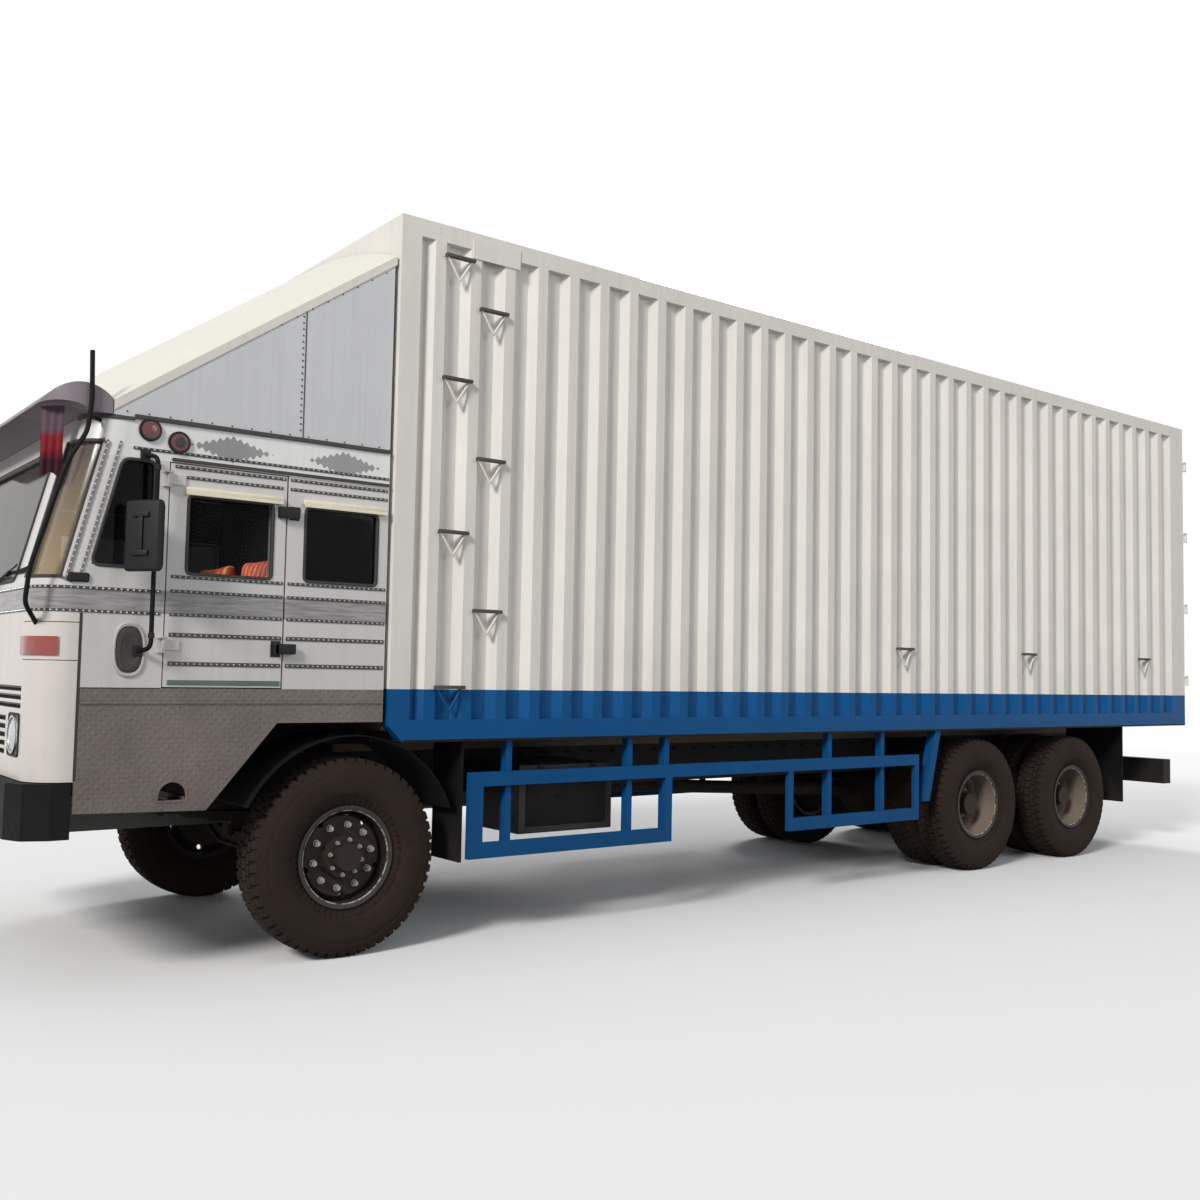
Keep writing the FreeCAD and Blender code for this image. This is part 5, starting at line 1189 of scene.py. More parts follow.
hatch_paint = finish("hatch_paint", rgb(190, 188, 184), roughness=0.5, mottle=0.2, all_over=0.12)
hatch_dark = finish("hatch_dark", rgb(46, 42, 42), roughness=0.65, mottle=0.35, all_over=0.3, bump=0.08)
for side, out in SIDES:
    bm = bmesh.new()
    dish(bm, oval(*HATCH), out, [(1.0, -0.001), (0.99, 0.007), (0.95, 0.010), (0.86, 0.008), (0.84, 0.001)])
    piece("hatch_rim_" + side, bm, hatch_paint, 35)
    bm = bmesh.new()
    dish(bm, oval(*HATCH), out, [(0.85, 0.0015), (0.80, 0.006), (0.55, 0.008), (0.50, 0.005)])
    piece("hatch_lid_" + side, bm, hatch_dark, 35)
    bm = bmesh.new()
    for s, y, z, width in DOOR_FITTINGS:
        side_block(bm, out, s, (CAB_Y + y[0], CAB_Y + y[1]), z, width)
    piece("door_fittings_" + side, bm, black_plastic, 30, "door_cab_" + side)
    bm = bmesh.new()
    side_block(bm, out, (-0.412, -0.358), (CAB_Y, CAB_Y + 0.0075), (2.278, 2.348), 0.002)
    side_block(bm, out, (-1.475, -1.378), (CAB_Y - 0.04, CAB_Y + 0.012), (1.898, 1.942), 0.010, 3)
    for s, z in ROUND_LAMPS:
        rim = [(1.0, -0.001), (1.0, 0.010), (0.96, 0.0135), (0.86, 0.0135), (0.84, 0.0125)]
        dish(bm, oval(s, z, 0.054, 0.054, power=2.0), out, rim)
    piece("catches_" + side, bm, black_plastic, 35)
    bm = bmesh.new()
    dish(bm, oval(*ROUND_LAMPS[1], 0.026, 0.026, power=2.0), out, [(1.0, 0.0175), (0.9, 0.0215), (0.4, 0.0225)])
    piece("lamp_eye_" + side, bm, hatch_dark, 50)

# %% [markdown]
# ## Skirts
# A folded strip stiffens the top of each aluminium skirt, with a row of rivets below it, and a rolled edge
# rims the foot hole.

# %% Fold strips, rivets and the foot hole's rim
SKIRT_SPAN = (-1.398, 0.152)
HOLE_S = (-1.027, -0.887)
HOLE_Z = (0.872, 0.897)
RIVET_ROWS = (
    ((-1.39, 1.378), (0.145, 1.378), 0.0035, 0.12),
    ((-1.393, 1.32), (-1.393, 0.86), 0.0, 0.09),
    ((-1.38, 0.852), (-1.07, 0.846), 0.0, 0.08),
)
hole_middle, hole_half = (HOLE_S[0] + HOLE_S[1]) / 2, (HOLE_S[1] - HOLE_S[0]) / 2
arc = [math.pi * k / 10 for k in range(1, 10)]
hole = [(HOLE_S[0], HOLE_Z[0]), (HOLE_S[1], HOLE_Z[0]), (HOLE_S[1], HOLE_Z[1])]
hole += [(hole_middle + hole_half * math.cos(turn), HOLE_Z[1] + hole_half * math.sin(turn)) for turn in arc]
hole += [(HOLE_S[0], HOLE_Z[1])]
for side, out in SIDES:
    bm = bmesh.new()
    side_block(bm, out, SKIRT_SPAN, (CAB_Y, CAB_Y + 0.0035), (1.345, 1.4075), 0.0015, 1)
    side_block(bm, out, SKIRT_SPAN, (CAB_Y, CAB_Y + 0.010), (1.337, 1.347))
    for start, end, stand, pitch in RIVET_ROWS:
        side_row(bm, out, start, end, CAB_Y + stand, pitch)
    side_seal(bm, out, hole, width=0.012, proud=0.004, radius=0.008, sink=0.006)
    piece("skirt_trim_" + side, bm, skirt_metal, 35)

# %% [markdown]
# ## Grille
# Inside each louvre of the front a black plate with thin upright wires is painted shade: it darkens the slot as
# the shade deep in it would, and looks like mesh. A picture of mesh would do from afar, but thin upright wires
# before a plate hold up close too, and each louvre shows so little of them that they cost little.

# %% Grille shade plates
LOUVRES = [(1.310 + 0.040 * k, 0.985) for k in range(3)] + [(1.085 + 0.040 * k, 0.700) for k in range(5)]
WIRE_PITCH = 0.030
grille_shade_black = finish("grille_shade_black", rgb(14, 14, 15), roughness=0.7, mottle=0.3, grain=260, bump=0.3)
bm = bmesh.new()
for z, half in LOUVRES:
    low, high = z - 0.0085, z + 0.0125
    block(bm, (at(-1.5705), -half + 0.001, low), (at(-1.5685), half - 0.001, high), 0)
    count = int(half * 2 / WIRE_PITCH)
    for k in range(count):
        y = -half + (k + 0.5) * 2 * half / count
        block(bm, (at(-1.5725), y - 0.002, low), (at(-1.5695), y + 0.002, high), 0)
piece("grille_shade_plates", bm, grille_shade_black)

# %% [markdown]
# ## Head lamps
# A head lamp has a dark bezel, a bright rim and a clear ribbed lens over its bowl. The lens is part of a
# ball: rings of points at growing radius, each set back as far as the ball curves away.

# %% Head lamps
LAMP_PLACE = (-1.602, 0.880, 1.185)
LENS_R = 0.0768
LAMP_RIM = [(LENS_R, 0.0025), (0.0790, 0.0110), (0.0840, 0.0125), (0.0885, 0.0110), (0.0900, 0.0020),
            (0.0905, -0.0005)]
UPRIGHT = Matrix.Rotation(math.radians(90), 4, "X")


def lamp_dome(bm, radius, rise, rings=7, count=40):
    """A shallow round lens that bulges along +Z, with its rim at Z = 0."""
    ball = (radius ** 2 + rise ** 2) / (2 * rise)
    turns = [math.tau * i / count for i in range(count)]
    rows = []
    for k in range(1, rings + 1):
        r = radius * k / rings
        z = math.sqrt(ball ** 2 - r ** 2) - (ball - rise)
        rows.append([bm.verts.new((r * math.cos(turn), r * math.sin(turn), z)) for turn in turns])
    top = bm.verts.new((0, 0, rise))
    for first, second in zip(rows[0], rows[0][1:] + rows[0][:1]):
        bm.faces.new((top, first, second))
    skin(bm, rows, ring=True)
    face_out(bm)


head_lens = template(lambda bm: lamp_dome(bm, LENS_R, 0.0142))
head_rim = template(lambda bm: turned(bm, LAMP_RIM, 56))
for side, out in SIDES:
    s, y, z = LAMP_PLACE
    bm = bmesh.new()
    stamp(bm, head_lens, facing((at(s - 0.0025), out * y, z), (-1, 0, 0)))
    piece("head_lens_" + side, bm, clear_lens, 60)
    bm = bmesh.new()
    stamp(bm, head_rim, facing((at(s), out * y, z), (-1, 0, 0)) @ UPRIGHT)
    face_out(bm)
    piece("head_rim_" + side, bm, bright_metal, 60)
    bm = bmesh.new()
    corners = [(at(s), out * y + dy, z + dz) for dy, dz in rectangle((-0.098, 0.098), (-0.095, 0.095))]
    seal(bm, corners, (-1, 0, 0), width=0.012, proud=0.005, radius=0.018, sink=0.001)
    piece("head_bezel_" + side, bm, black_plastic, 50)

# %% [markdown]
# ## Wipers
# The wipers lie parked along the foot of the windscreen. Each is a pivot, an arm in two thicknesses and a
# blade, made of straight bars because their bends are too slight to show.

# %% Wipers
WIPER_Y = (-0.30, 0.34)
WIPER_REACH = 0.52 * 0.92
bm, blades = bmesh.new(), bmesh.new()
for y in WIPER_Y:
    foot = Vector((at(front_at(1.905)) - 0.016, y, 1.905))
    tip = Vector((at(front_at(1.965)) - 0.020, y - WIPER_REACH, 1.990))
    round_bar(bm, foot + Vector((0.02, 0, 0)), foot - Vector((0.012, 0, 0)), 0.016, 16)
    round_bar(bm, foot, tip.lerp(foot, 0.30), 0.007, 10)
    round_bar(bm, tip.lerp(foot, 0.32), tip, 0.004, 10)
    x = at(front_at(1.955)) - 0.010
    low, high = Vector((x, y - WIPER_REACH - 0.22, 1.972)), Vector((x, y - WIPER_REACH + 0.24, 1.948))
    round_bar(blades, low, high, 0.005, 8)
    block(blades, (low.x - 0.004, low.y + 0.02, 1.950), (low.x + 0.004, high.y - 0.02, 1.966), 0.001, 1)
piece("wiper_arms", bm, black_steel)
piece("wiper_blades", blades, rubber)

# %% [markdown]
# ## Mirrors and corner rods
# A bent tube on each side carries a mirror, and a tall rod stands before each front corner to show the
# driver where the truck ends. A tube is a curve with a round bevel, and its bends are rounded off first.

# %% Tubes of mirrors and corner rods
ROD_R = 0.011
ROD_Y = 1.216
STEM = (-1.110, 1.275)
STEM_FOOT_Y = 1.197
STEM_SPAN = (1.585, 2.525)
ARM_Z = 2.130
HEAD = (-1.180, 1.340)
HEAD_HALF = 0.100
HEAD_SPAN = (1.955, 2.290)
HEAD_TURN = {"left": 33, "right": 24}
CORNER_ROD = ((-1.413, 0, 2.980), (-1.405, 0, 2.745), (-1.420, 0, 2.600), (-1.505, 0.008, 2.443),
              (-1.640, -0.002, 1.951), (-1.650, -0.022, 1.790), (-1.572, -0.124, 1.700))


def bent_tube(bm, out, corners, radius):
    """A round tube on one side of the truck through (s, y, z) corners, each bend rounded off."""
    corners = [Vector((at(s), out * y, z)) for s, y, z in corners]
    path = [corners[0]]
    for before, corner, after in zip(corners, corners[1:], corners[2:]):
        path += eased(before, corner, after, 0.035, 4)
    path.append(corners[-1])
    curve = bpy.data.curves.new("tube", "CURVE")
    curve.dimensions = "3D"
    curve.bevel_depth = radius
    curve.bevel_resolution = 3
    curve.use_fill_caps = True
    line = curve.splines.new("POLY")
    line.points.add(len(path) - 1)
    for point, place in zip(line.points, path):
        point.co = (*place, 1)
    holder = bpy.data.objects.new("tube", curve)
    mesh = bpy.data.meshes.new_from_object(holder)
    bm.from_mesh(mesh)
    bpy.data.objects.remove(holder)
    bpy.data.meshes.remove(mesh)


def mirror_tubes(side, out):
    bm = bmesh.new()
    s, y = STEM
    low, high = STEM_SPAN
    top, foot = (s - 0.040, STEM_FOOT_Y, high), (s - 0.040, STEM_FOOT_Y, low)
    bent_tube(bm, out, (top, (s, y, high - 0.015), (s, y, low + 0.015), foot), ROD_R)
    bent_tube(bm, out, ((s, y, ARM_Z), (HEAD[0] + 0.010, HEAD[1], ARM_Z)), ROD_R)
    bent_tube(bm, out, [(s, ROD_Y + dy, z) for s, dy, z in CORNER_ROD], ROD_R)
    bent_tube(bm, out, ((-1.409, ROD_Y, 2.670), (-1.345, 1.150, 2.670)), ROD_R - 0.002)
    piece("mirror_tubes_" + side, bm, black_steel, 50, replaced=["mirrors"])


print("tube tools ready")

# %% [markdown]
# ## Mirror heads
# A head is a block with softened edges whose back is pushed out in the middle, and its glass is a thin
# plate in a rubber rim. It is built upright at the origin, so its numbers stay simple, and then turned in
# towards the driver. The driver sits on the right, so the left head turns further.

# %% Heads, glass and clamps
HEAD_RIBS = (((-0.036, -0.045, 2.028), (-0.028, 0.045, 2.052)), ((-0.036, -0.045, 2.208), (-0.028, 0.045, 2.232)),
             ((-0.034, -0.012, 2.030), (-0.026, 0.012, 2.230)))
CLAMPS = ((ARM_Z, 0.022, 0.019), (2.460, 0.012, 0.015), (1.660, 0.012, 0.015))


def mirror_head(side, place):
    """A moulded shell whose back is flat in the middle and rounded towards its edges."""
    low, high = HEAD_SPAN
    bm = bmesh.new()
    block(bm, (-0.030, -HEAD_HALF, low), (0.020, HEAD_HALF, high), 0.018, 4)
    for v in bm.verts:
        if v.co.x < -0.010:
            across, up = v.co.y / HEAD_HALF, (v.co.z - (low + high) / 2) / (high - low) * 2
            v.co.x += 0.008 * max(across * across, up * up)
    for corner, other in HEAD_RIBS:
        block(bm, corner, other, 0.002)
    bmesh.ops.transform(bm, matrix=place, verts=bm.verts[:])
    piece("mirror_head_" + side, bm, black_plastic, 35, replaced=["mirrors"])


def mirror_pane(side, place):
    low, high = HEAD_SPAN
    bm = bmesh.new()
    block(bm, (0.0195, -HEAD_HALF + 0.012, low + 0.012), (0.0212, HEAD_HALF - 0.012, high - 0.012), 0.0004, 1)
    bmesh.ops.transform(bm, matrix=place, verts=bm.verts[:])
    piece("mirror_glass_" + side, bm, mirror_glass, 30)


def mirror_fittings(side, out, place):
    """The pane's rim, the clamps on the stem and the plates that bolt it to the cab."""
    bm = bmesh.new()
    rim = HEAD_HALF - 0.014
    corners = [(0.0200, y, z) for y, z in rectangle((-rim, rim), (HEAD_SPAN[0] + 0.014, HEAD_SPAN[1] - 0.014))]
    seal(bm, corners, (1, 0, 0), width=0.012, proud=0.004, radius=0.018, sink=0.002)
    bmesh.ops.transform(bm, matrix=place, verts=bm.verts[:])
    x, y = at(STEM[0]), out * STEM[1]
    for z, half, radius in CLAMPS:
        round_bar(bm, (x, y, z - half), (x, y, z + half), radius, 16)
    for z in reversed(STEM_SPAN):
        side_block(bm, out, (-1.172, -1.124), (CAB_Y - 0.001, CAB_Y + 0.008), (z - 0.028, z + 0.028))
    piece("mirror_fittings_" + side, bm, black_plastic, 35)


for side, out in SIDES:
    mirror_tubes(side, out)
    turn = Matrix.Rotation(math.radians(-out * HEAD_TURN[side]), 4, "Z")
    place = Matrix.Translation((at(HEAD[0]), out * HEAD[1], 0)) @ turn
    mirror_head(side, place)
    mirror_pane(side, place)
    mirror_fittings(side, out, place)

# %% [markdown]
# ## A cloth on the visor
# A worn strip of red cloth hangs from the left end of the visor. It is a flat grid that was cut to size,
# hung by its upper edge, gathered a little into folds that deepen downwards, and given a thin body.

# %% Hang the cloth
CLOTH_W, CLOTH_L = 0.125, 0.330
CLOTH_TOP = Vector((at(-1.535), -1.045, 2.728))
CLOTH_WAY = Vector((0.72, -0.69, 0))
CLOTH_OUT = Vector((-0.69, -0.72, 0))


def cloth_colours(tree, split, place):
    """Dark red at the foot, red above it and a dusty purple at the top."""
    lower = mix(tree, ramp(tree, split["Z"], 2.47, 2.53), rgb(66, 26, 40), rgb(158, 44, 54))
    return mix(tree, ramp(tree, split["Z"], 2.58, 2.62), lower, rgb(118, 98, 112))


visor_cloth = finish("visor_cloth", None, roughness=0.95, mottle=0.3, grain=500, bump=0.3, all_over=0.1,
                     paint=cloth_colours, shine=0.2)
bm = bmesh.new()
bmesh.ops.create_grid(bm, x_segments=24, y_segments=36, size=0.5)
for v in bm.verts:
    across, down = v.co.x, 0.5 - v.co.y
    narrow = 0.94 - 0.06 * down + 0.02 * math.sin(9 * down)
    fold = math.sin(across * 19 + down * 1.6) * (0.003 + 0.006 * down)
    drop = CLOTH_L * down * (0.985 - 0.03 * math.cos(across * 7))
    v.co = CLOTH_TOP + CLOTH_WAY * across * CLOTH_W * narrow + CLOTH_OUT * fold - Vector((0, 0, drop))
face_out(bm)
bmesh.ops.solidify(bm, geom=bm.faces[:], thickness=0.0015)
cloth = piece("visor_cloth", bm, visor_cloth, 60)

# %% [markdown]
# ## Box body fittings
# The rear doors close on rubber gaskets. Lock bars turn in bolted guides and end in cams that catch on
# keepers in the frame, and the hinge straps carry bolts. What is on a door rides on that door.

# %% Gaskets, cams and keepers
DOOR_FACE = 8.840
FLOOR_Z = 1.290
HEADER_Z = 3.915
DOOR_Y = (0.0075, 1.115 - 0.008)
HINGE_LOW = FLOOR_Z + 0.270
HINGES = [HINGE_LOW + k * (HEADER_Z - 0.255 - FLOOR_Z - 0.270) / 3 for k in range(4)]
BAR_Y = (0.760, 0.260)
bar_low, bar_high = FLOOR_Z + 0.040, HEADER_Z - 0.035
bar_length = bar_high - bar_low
GUIDES = (bar_low + 0.070, bar_low + 0.31 * bar_length, bar_low + 0.65 * bar_length, bar_high - 0.080)
CAM_S = (DOOR_FACE + 0.018, DOOR_FACE + 0.036)


def behind(bm, part, s, y, z):
    """Stamp a part that faces backwards."""
    stamp(bm, part, facing((at(s), y, z), (1, 0, 0)))


for side, out in SIDES:
    body = "door_rear_" + side
    edges = sorted(out * y for y in DOOR_Y)
    bm = bmesh.new()
    outline = rectangle((edges[0] + 0.012, edges[1] - 0.012), (FLOOR_Z + 0.02, HEADER_Z - 0.02))
    corners = [(at(DOOR_FACE), y, z) for y, z in outline]
    seal(bm, corners, (1, 0, 0), width=0.020, proud=0.005, radius=0.02, sink=0.0005)
    piece("door_gasket_" + side, bm, window_rubber, 50, body)
    bm = bmesh.new()
    for z in HINGES:
        for y in (0.915, 0.985, 1.055):
            behind(bm, small_bolt, DOOR_FACE + 0.016, out * y, z)
    for y in BAR_Y:
        for z in GUIDES:
            for dz in (-0.021, 0.021):
                behind(bm, rivet, DOOR_FACE + 0.036, out * y, z + dz)
        for z in (bar_low + 0.004, bar_high - 0.004):
            x = at(DOOR_FACE + 0.028)
            round_bar(bm, (x, out * y, z - 0.014), (x, out * y, z + 0.014), 0.0168, 16)
            side_block(bm, out, CAM_S, (y - 0.050, y - 0.006), (z - 0.010, z + 0.010))
    piece("door_irons_" + side, bm, bright_metal, 30, body)
bm = bmesh.new()
for side, out in SIDES:
    for y in BAR_Y:
        for z0, z1 in ((FLOOR_Z - 0.060, FLOOR_Z - 0.008), (HEADER_Z + 0.008, HEADER_Z + 0.060)):
            block(bm, (at(DOOR_FACE), out * y - 0.034, z0), (at(DOOR_FACE + 0.022), out * y + 0.034, z1), 0.004)
            for dy in (-0.022, 0.022):
                behind(bm, rivet, DOOR_FACE + 0.022, out * y + dy, (z0 + z1) / 2)
piece("keepers", bm, black_steel, 30)

# %% [markdown]
# ## Rails and steps
# A row of rivets runs along the upper and lower rails, spaced about as the ribs of the walls are. A black
# lip closes the lower rail, and dark grey sleeves on the step rungs are painted shade along their bars.

# %% Rail rivets, lips and painted shade on the step rungs
BOX_Y = 1.220
RIB_PITCH = 0.2344
RUNG_START = 0.4495
RUNG_LENGTH = 0.190
RUNG_Y = (1.2225, 1.2528)
TIES = [(RUNG_START + RIB_PITCH * n, 1.752) for n in (17, 24, 32)]
LADDER = [(RUNG_START + RIB_PITCH * (k % 2), 1.430 + 0.433 * k) for k in range(6)] + [(RUNG_START, 3.860)]
# The rungs are box paint. This dark grey is painted shade laid over them.
rung_shade_grey = finish("rung_shade_grey", rgb(74, 70, 68), roughness=0.75, mottle=0.35, grain=140, all_over=0.2, bump=0.08)
bm, lips = bmesh.new(), bmesh.new()
for side, out in SIDES:
    for z in (1.163, 3.985):
        side_row(bm, out, (0.30, z), (8.70, z), BOX_Y, RIB_PITCH)
    side_block(lips, out, (0.272, 8.838), (1.2195, 1.2215), (1.127, 1.141), 0.0008, 1)
piece("box_rivets", bm, box_paint, 30)
piece("rail_lips", lips, black_steel, 30)
for side, out in SIDES:
    bm = bmesh.new()
    for start, z in TIES + (LADDER if side == "left" else []):
        side_block(bm, out, (start - 0.001, start + RUNG_LENGTH + 0.001), RUNG_Y, (z - 0.0098, z + 0.0098))
    piece("rung_shade_sleeves_" + side, bm, rung_shade_grey, 30)

# %% [markdown]
# ## Under the body
# Bolts run along the rails, and U-bolts hold the springs to the front axle. Sheet metal walls stand
# between the front wheels and the frame.

# %% Frame bolts, U-bolts and wheelhouse walls
FRAME_Y = 0.425
SPRING_Y = (0.385 - 0.052, 0.385 + 0.052)
U_BOLT_Z = (0.490, 0.735)
WHEELHOUSE_Y = 0.640
frame_bolts, u_bolts, walls = bmesh.new(), bmesh.new(), bmesh.new()
for side, out in SIDES:
    for z in (0.800, 0.990):
        side_row(frame_bolts, out, (-1.38, z), (8.38, z), FRAME_Y, 0.19, small_bolt)
    for s in (-0.062, 0.062):
        for y in SPRING_Y:
            round_bar(u_bolts, (at(s), out * y, U_BOLT_Z[0]), (at(s), out * y, U_BOLT_Z[1]), 0.009, 12)
            stamp(u_bolts, small_bolt, facing((at(s), out * y, U_BOLT_Z[0] + 0.004), (0, 0, -1)))
        across = [(at(s), out * y, U_BOLT_Z[1]) for y in SPRING_Y]
        round_bar(u_bolts, *across, 0.009, 12)
    side_block(walls, out, (-1.380, 0.600), (WHEELHOUSE_Y, WHEELHOUSE_Y + 0.004), (1.090, 1.366), 0.001, 1)
    for s in (-1.2, -0.6, 0.0, 0.55):
        rib_y = (WHEELHOUSE_Y, WHEELHOUSE_Y + 0.020)
        side_block(walls, out, (s - 0.015, s + 0.015), rib_y, (1.095, 1.360), 0.003, 1)
piece("frame_bolts", frame_bolts, under_paint, 30)
piece("u_bolts", u_bolts, axle_iron)
piece("wheelhouse_panels", walls, under_paint, 30)

# %% [markdown]
# ## Tank, battery box and flaps
# Two straps run round the fuel tank, made as a seal is: a small section carried round an outline. Its cap
# has grips. The battery box has a lid with two clips, and the mud flaps have upright ribs.

# %% Tank, battery box and flaps
CAP = (1.310, 0.900)
CAP_Z = (1.030, 1.060)
CAP_GRIPS = 0.052
BATTERY_LID = (((1.28, 1.32), (1.0535, 1.0665), (0.900, 0.972), 0.003),
               ((1.68, 1.72), (1.0535, 1.0665), (0.900, 0.972), 0.003),
               ((1.20, 1.80), (1.0535, 1.0585), (0.600, 0.880), 0.002),
               ((1.42, 1.58), (1.0580, 1.0665), (0.760, 0.775), 0.003))
bm = bmesh.new()
for s in (1.375, 2.325):
    corners = [(at(s), y, z) for y, z in rectangle((0.470, 1.080), (0.540, 1.000))]
    seal(bm, corners, (1, 0, 0), width=0.006, proud=0.050, radius=0.135, sink=0.0)
round_bar(bm, (at(CAP[0]), CAP[1], CAP_Z[0]), (at(CAP[0]), CAP[1], CAP_Z[1]), 0.056, 24)
for k in range(6):
    x = at(CAP[0] + CAP_GRIPS * math.cos(math.tau * k / 6))
    y = CAP[1] + CAP_GRIPS * math.sin(math.tau * k / 6)
    round_bar(bm, (x, y, CAP_Z[0] + 0.004), (x, y, CAP_Z[1] - 0.004), 0.009, 8)
piece("tank_straps", bm, skirt_metal, 35)
bm = bmesh.new()
for s, y, z, width in BATTERY_LID:
    side_block(bm, -1, s, y, z, width)
piece("battery_lid", bm, black_steel, 30)
bm = bmesh.new()
for side, out in SIDES:
    for face, (y0, y1), foot in ((0.676, (0.895, 1.175), 0.47), (7.754, (0.640, 1.165), 0.46)):
        for k in range(7):
            y = y0 + (k + 0.5) * (y1 - y0) / 7
            side_block(bm, out, (face - 0.0005, face + 0.004), (y - 0.006, y + 0.006), (foot, 1.05), 0.002, 1)
piece("flap_ribs", bm, rubber, 30)

# %% [markdown]
# ## Rear lamps
# Each end of the beam carries a cluster of three lenses, red outside, amber in the middle and clear inside,
# in one rubber rim.

# %% Lenses and rims on the rear beam
BEAM_BACK = 8.706
CLUSTER = (
    ("tail_red", red_lens, "lamp_red", (0.995, 1.118)),
    ("tail_amber", amber_lens, "lamp_red", (0.885, 0.992)),
    ("tail_clear", clear_lens, "lamp_clear", (0.772, 0.882)),
)
for name, material, slot, y in CLUSTER:
    bm = bmesh.new()
    for side, out in SIDES:
        side_block(bm, out, (BEAM_BACK - 0.002, BEAM_BACK + 0.006), y, (0.632, 0.748))
    piece(name, bm, material, 30)
bm = bmesh.new()
for side, out in SIDES:
    corners = [(at(BEAM_BACK - 0.008), out * y, z) for y, z in rectangle((0.760, 1.130), (0.620, 0.760))]
    seal(bm, corners, (1, 0, 0), width=0.012, proud=0.010, radius=0.015, sink=0.012)
piece("tail_rims", bm, rubber)

# %% [markdown]
# ## Inside the cab
# Near-black trim covers the walls and roof: real trim whose darkness is partly painted shade, so the cab looks as
# deep through its windows as a real one.

# %% Dark trim, partly painted shade
LINING_Y = (1.1425, 1.1495)
SIDE_LINING = (((-0.412, 0.098), (1.415, 1.958)), ((-0.412, 0.098), (2.362, 2.642)),
               ((-0.412, -0.332), (1.958, 2.362)), ((-1.02, -0.436), (2.512, 2.642)))
DOOR_LINING = (((-1.018, -0.436), (1.424, 1.956)), ((-1.018, -0.436), (2.364, 2.494)),
               ((-1.018, -0.944), (1.956, 2.364)), ((-0.486, -0.436), (1.956, 2.364)))
shaded_lining = finish("shaded_lining", rgb(20, 18, 19), roughness=0.95, mottle=0.25, grain=300, bump=0.12, all_over=0.03)
bm = bmesh.new()
block(bm, (at(0.099), -1.148, 1.415), (at(0.1045), 1.148, 2.648), 0.002, 1)
block(bm, (at(-1.22), -1.090, 2.6445), (at(0.098), 1.090, 2.6495), 0.002, 1)
for side, out in SIDES:
    for s, z in SIDE_LINING:
        side_block(bm, out, s, LINING_Y, z, 0.002, 1)
piece("cab_lining", bm, shaded_lining, 30)
for side, out in SIDES:
    bm = bmesh.new()
    for s, z in DOOR_LINING:
        side_block(bm, out, s, LINING_Y, z, 0.002, 1)
    piece("door_lining_" + side, bm, shaded_lining, 30, "door_cab_" + side)

# %% [markdown]
# ## Dials
# The dash has three plain dials with marks and no numbers. Rim, face and mark are each made once, flat,
# and stamped along the slope of the dash.

# %% Dials
DIAL_Y = (0.40, 0.52, 0.64)
DIAL_WAY = (0.96, 0, 0.27)
DIAL_RIM = [(0.046, 0.0), (0.047, 0.010), (0.051, 0.012), (0.055, 0.008), (0.056, -0.006)]
dial_face = finish("dial_face", rgb(228, 226, 214), roughness=0.4, mottle=0.05, all_over=0.04)
rim = template(lambda bm: turned(bm, DIAL_RIM, 32))
face = template(lambda bm: lamp_dome(bm, 0.0462, 0.002, rings=2, count=32))
mark = template(lambda bm: block(bm, (0.032, -0.0009, -0.0004), (0.041, 0.0009, 0.0004), 0))
bm, dials, marks = bmesh.new(), bmesh.new(), bmesh.new()
for y in DIAL_Y:
    centre = Vector((at(-1.188), y, 1.836))
    stamp(bm, rim, facing(centre, DIAL_WAY) @ UPRIGHT)
    stamp(dials, face, facing(centre + Vector((0.002, 0, 0.0006)), DIAL_WAY))
    for k in range(9):
        turn = Matrix.Rotation(math.radians(225 - 270 * k / 8), 4, "Z")
        stamp(marks, mark, facing(centre + Vector((0.0045, 0, 0.0014)), DIAL_WAY) @ turn)
face_out(bm)
piece("dial_rims", bm, black_plastic, 50)
piece("dial_faces", dials, dial_face, 60)
piece("dial_marks", marks, joints_dark, 0)

# %% [markdown]
# ## Seats
# Each seat is a cushion and a backrest of striped vinyl in upright channels. A pad starts as a rounded
# block, slightly smaller than its place, is remeshed finely and blown up a little as cloth under pressure.
# The swelling is capped. Afterwards the channels are pressed in along lines of even pitch.

# %% Padded seats
VOXEL = 0.014
SWELL_CAP = 0.012
CHANNEL_DEPTH = 0.009
BACK_LEAN = 0.070 / 0.455
SEAT_ROWS = (("driver", 0.260, 0.780), ("bench", -0.870, 0.030))


def blow_up(made):
    """Swell a closed mesh as cloth under pressure, and apply the result."""
    cloth = made.modifiers.new("cloth", "CLOTH")
    cloth.settings.use_pressure = True
    cloth.settings.uniform_pressure_force = 4.0
    cloth.settings.effector_weights.gravity = 0.0
    cloth.settings.quality = 5
    for frame_number in range(1, 21):
        scene.frame_set(frame_number)
    bpy.ops.object.modifier_apply(modifier="cloth")
    scene.frame_set(1)


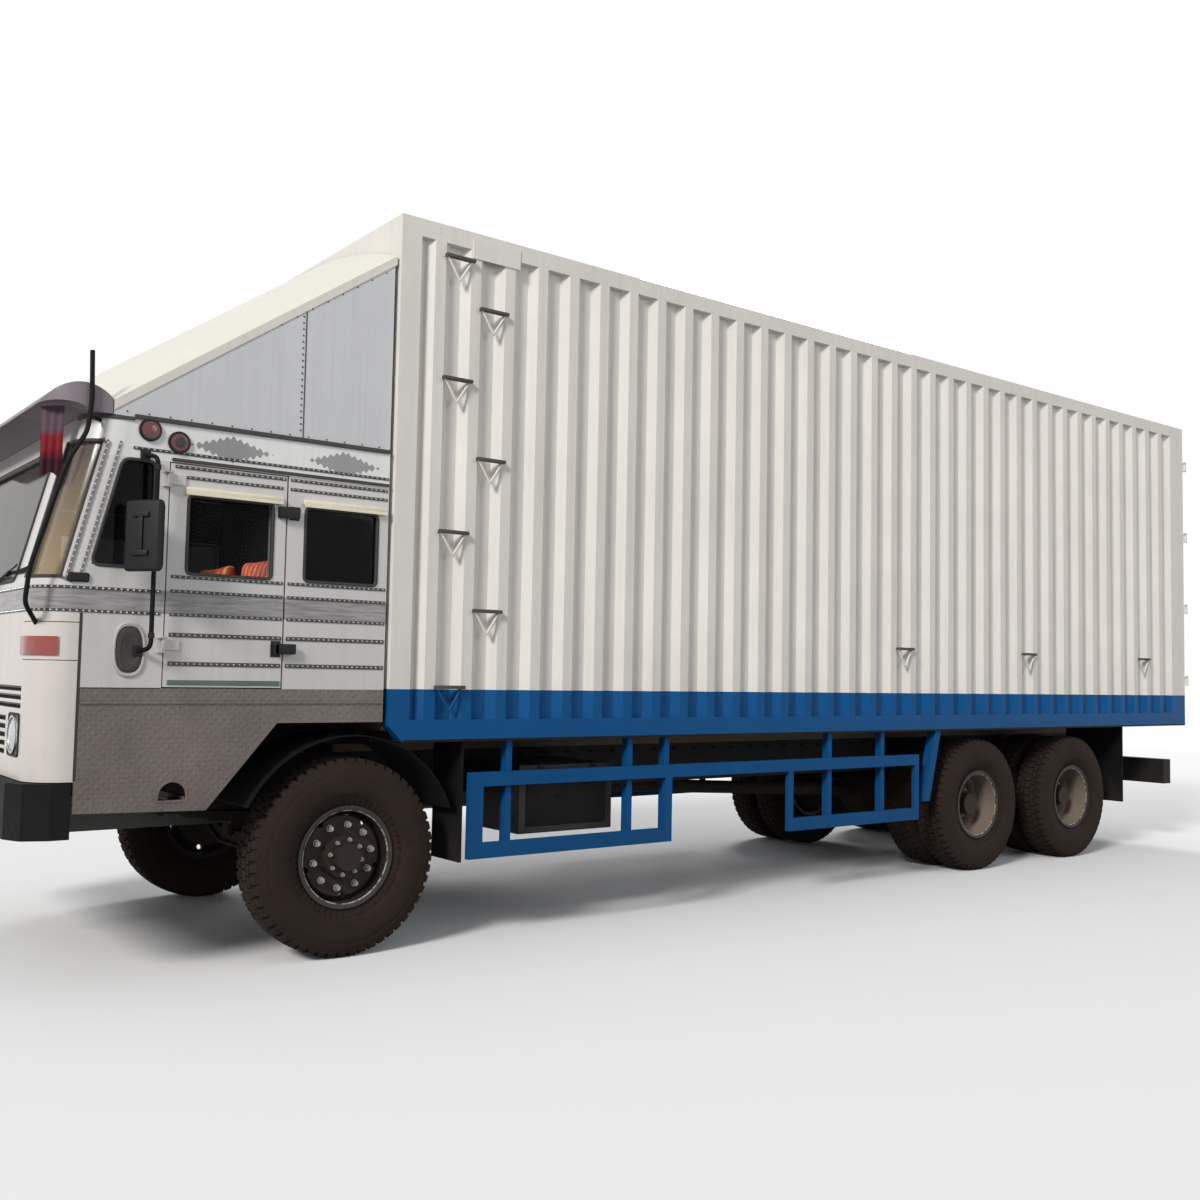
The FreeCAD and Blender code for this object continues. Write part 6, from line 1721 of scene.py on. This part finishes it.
def press_channels(mesh, upright):
    """Press the lines between the channels into the face that is sat on or leaned on."""
    normals = [v.normal.copy() for v in mesh.vertices]
    for v, normal in zip(mesh.vertices, normals):
        facing_out = max(0.0, -normal.x) if upright else max(0.0, normal.z)
        offset = (v.co.y / CHANNEL_PITCH + 0.5) % 1.0 - 0.5
        crown = math.cos(math.pi * offset) ** 0.5 if abs(offset) < 0.5 else 0.0
        v.co -= normal * CHANNEL_DEPTH * (1 - crown) * facing_out


def soft_pad(name, low, high, lean=0.0):
    """A padded piece between two corners, leaning back by lean for each metre of height."""
    low, high = Vector(low), Vector(high)
    bm = bmesh.new()
    block(bm, low, high, 0.030, 4)
    for v in bm.verts:
        v.co.x += lean * (v.co.z - low.z)
    mesh = bpy.data.meshes.new(name)
    bm.to_mesh(mesh)
    bm.free()
    made = bpy.data.objects.new(name, mesh)
    scene.collection.objects.link(made)
    bpy.context.view_layer.objects.active = made
    made.select_set(True)
    remesh = made.modifiers.new("remesh", "REMESH")
    remesh.mode = "VOXEL"
    remesh.voxel_size = VOXEL
    bpy.ops.object.modifier_apply(modifier="remesh")
    rest = [v.co.copy() for v in mesh.vertices]
    blow_up(made)
    for v, start in zip(made.data.vertices, rest):
        move = v.co - start
        if move.length > SWELL_CAP:
            v.co = start + move.normalized() * SWELL_CAP
    made.modifiers.new("divide", "SUBSURF").levels = 1
    bpy.ops.object.modifier_apply(modifier="divide")
    made.select_set(False)
    mesh = made.data
    press_channels(mesh, upright=lean > 0)
    mesh.shade_smooth()
    mesh.materials.clear()
    mesh.materials.append(seat_vinyl)
    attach(made, "chassis")
    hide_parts("seats")
    print("padded", name, len(mesh.polygons), "faces")


for name, y0, y1 in SEAT_ROWS:
    soft_pad("cushion_" + name, (at(-0.712), y0 + 0.008, 1.608), (at(-0.198), y1 - 0.008, 1.732))
    soft_pad("backrest_" + name, (at(-0.248), y0 + 0.008, 1.722), (at(-0.162), y1 - 0.008, 2.156), BACK_LEAN)
bm = bmesh.new()
for y0, y1 in ((0.300, 0.740), (-0.830, -0.010)):
    block(bm, (at(-0.640), y0, 1.412), (at(-0.230), y1, 1.604), 0.006)
    for y in (y0 + 0.03, y1 - 0.03):
        block(bm, (at(-0.650), y - 0.012, 1.4125), (at(-0.220), y + 0.012, 1.440))
piece("seat_bases", bm, black_steel, 30, replaced=["seats"])
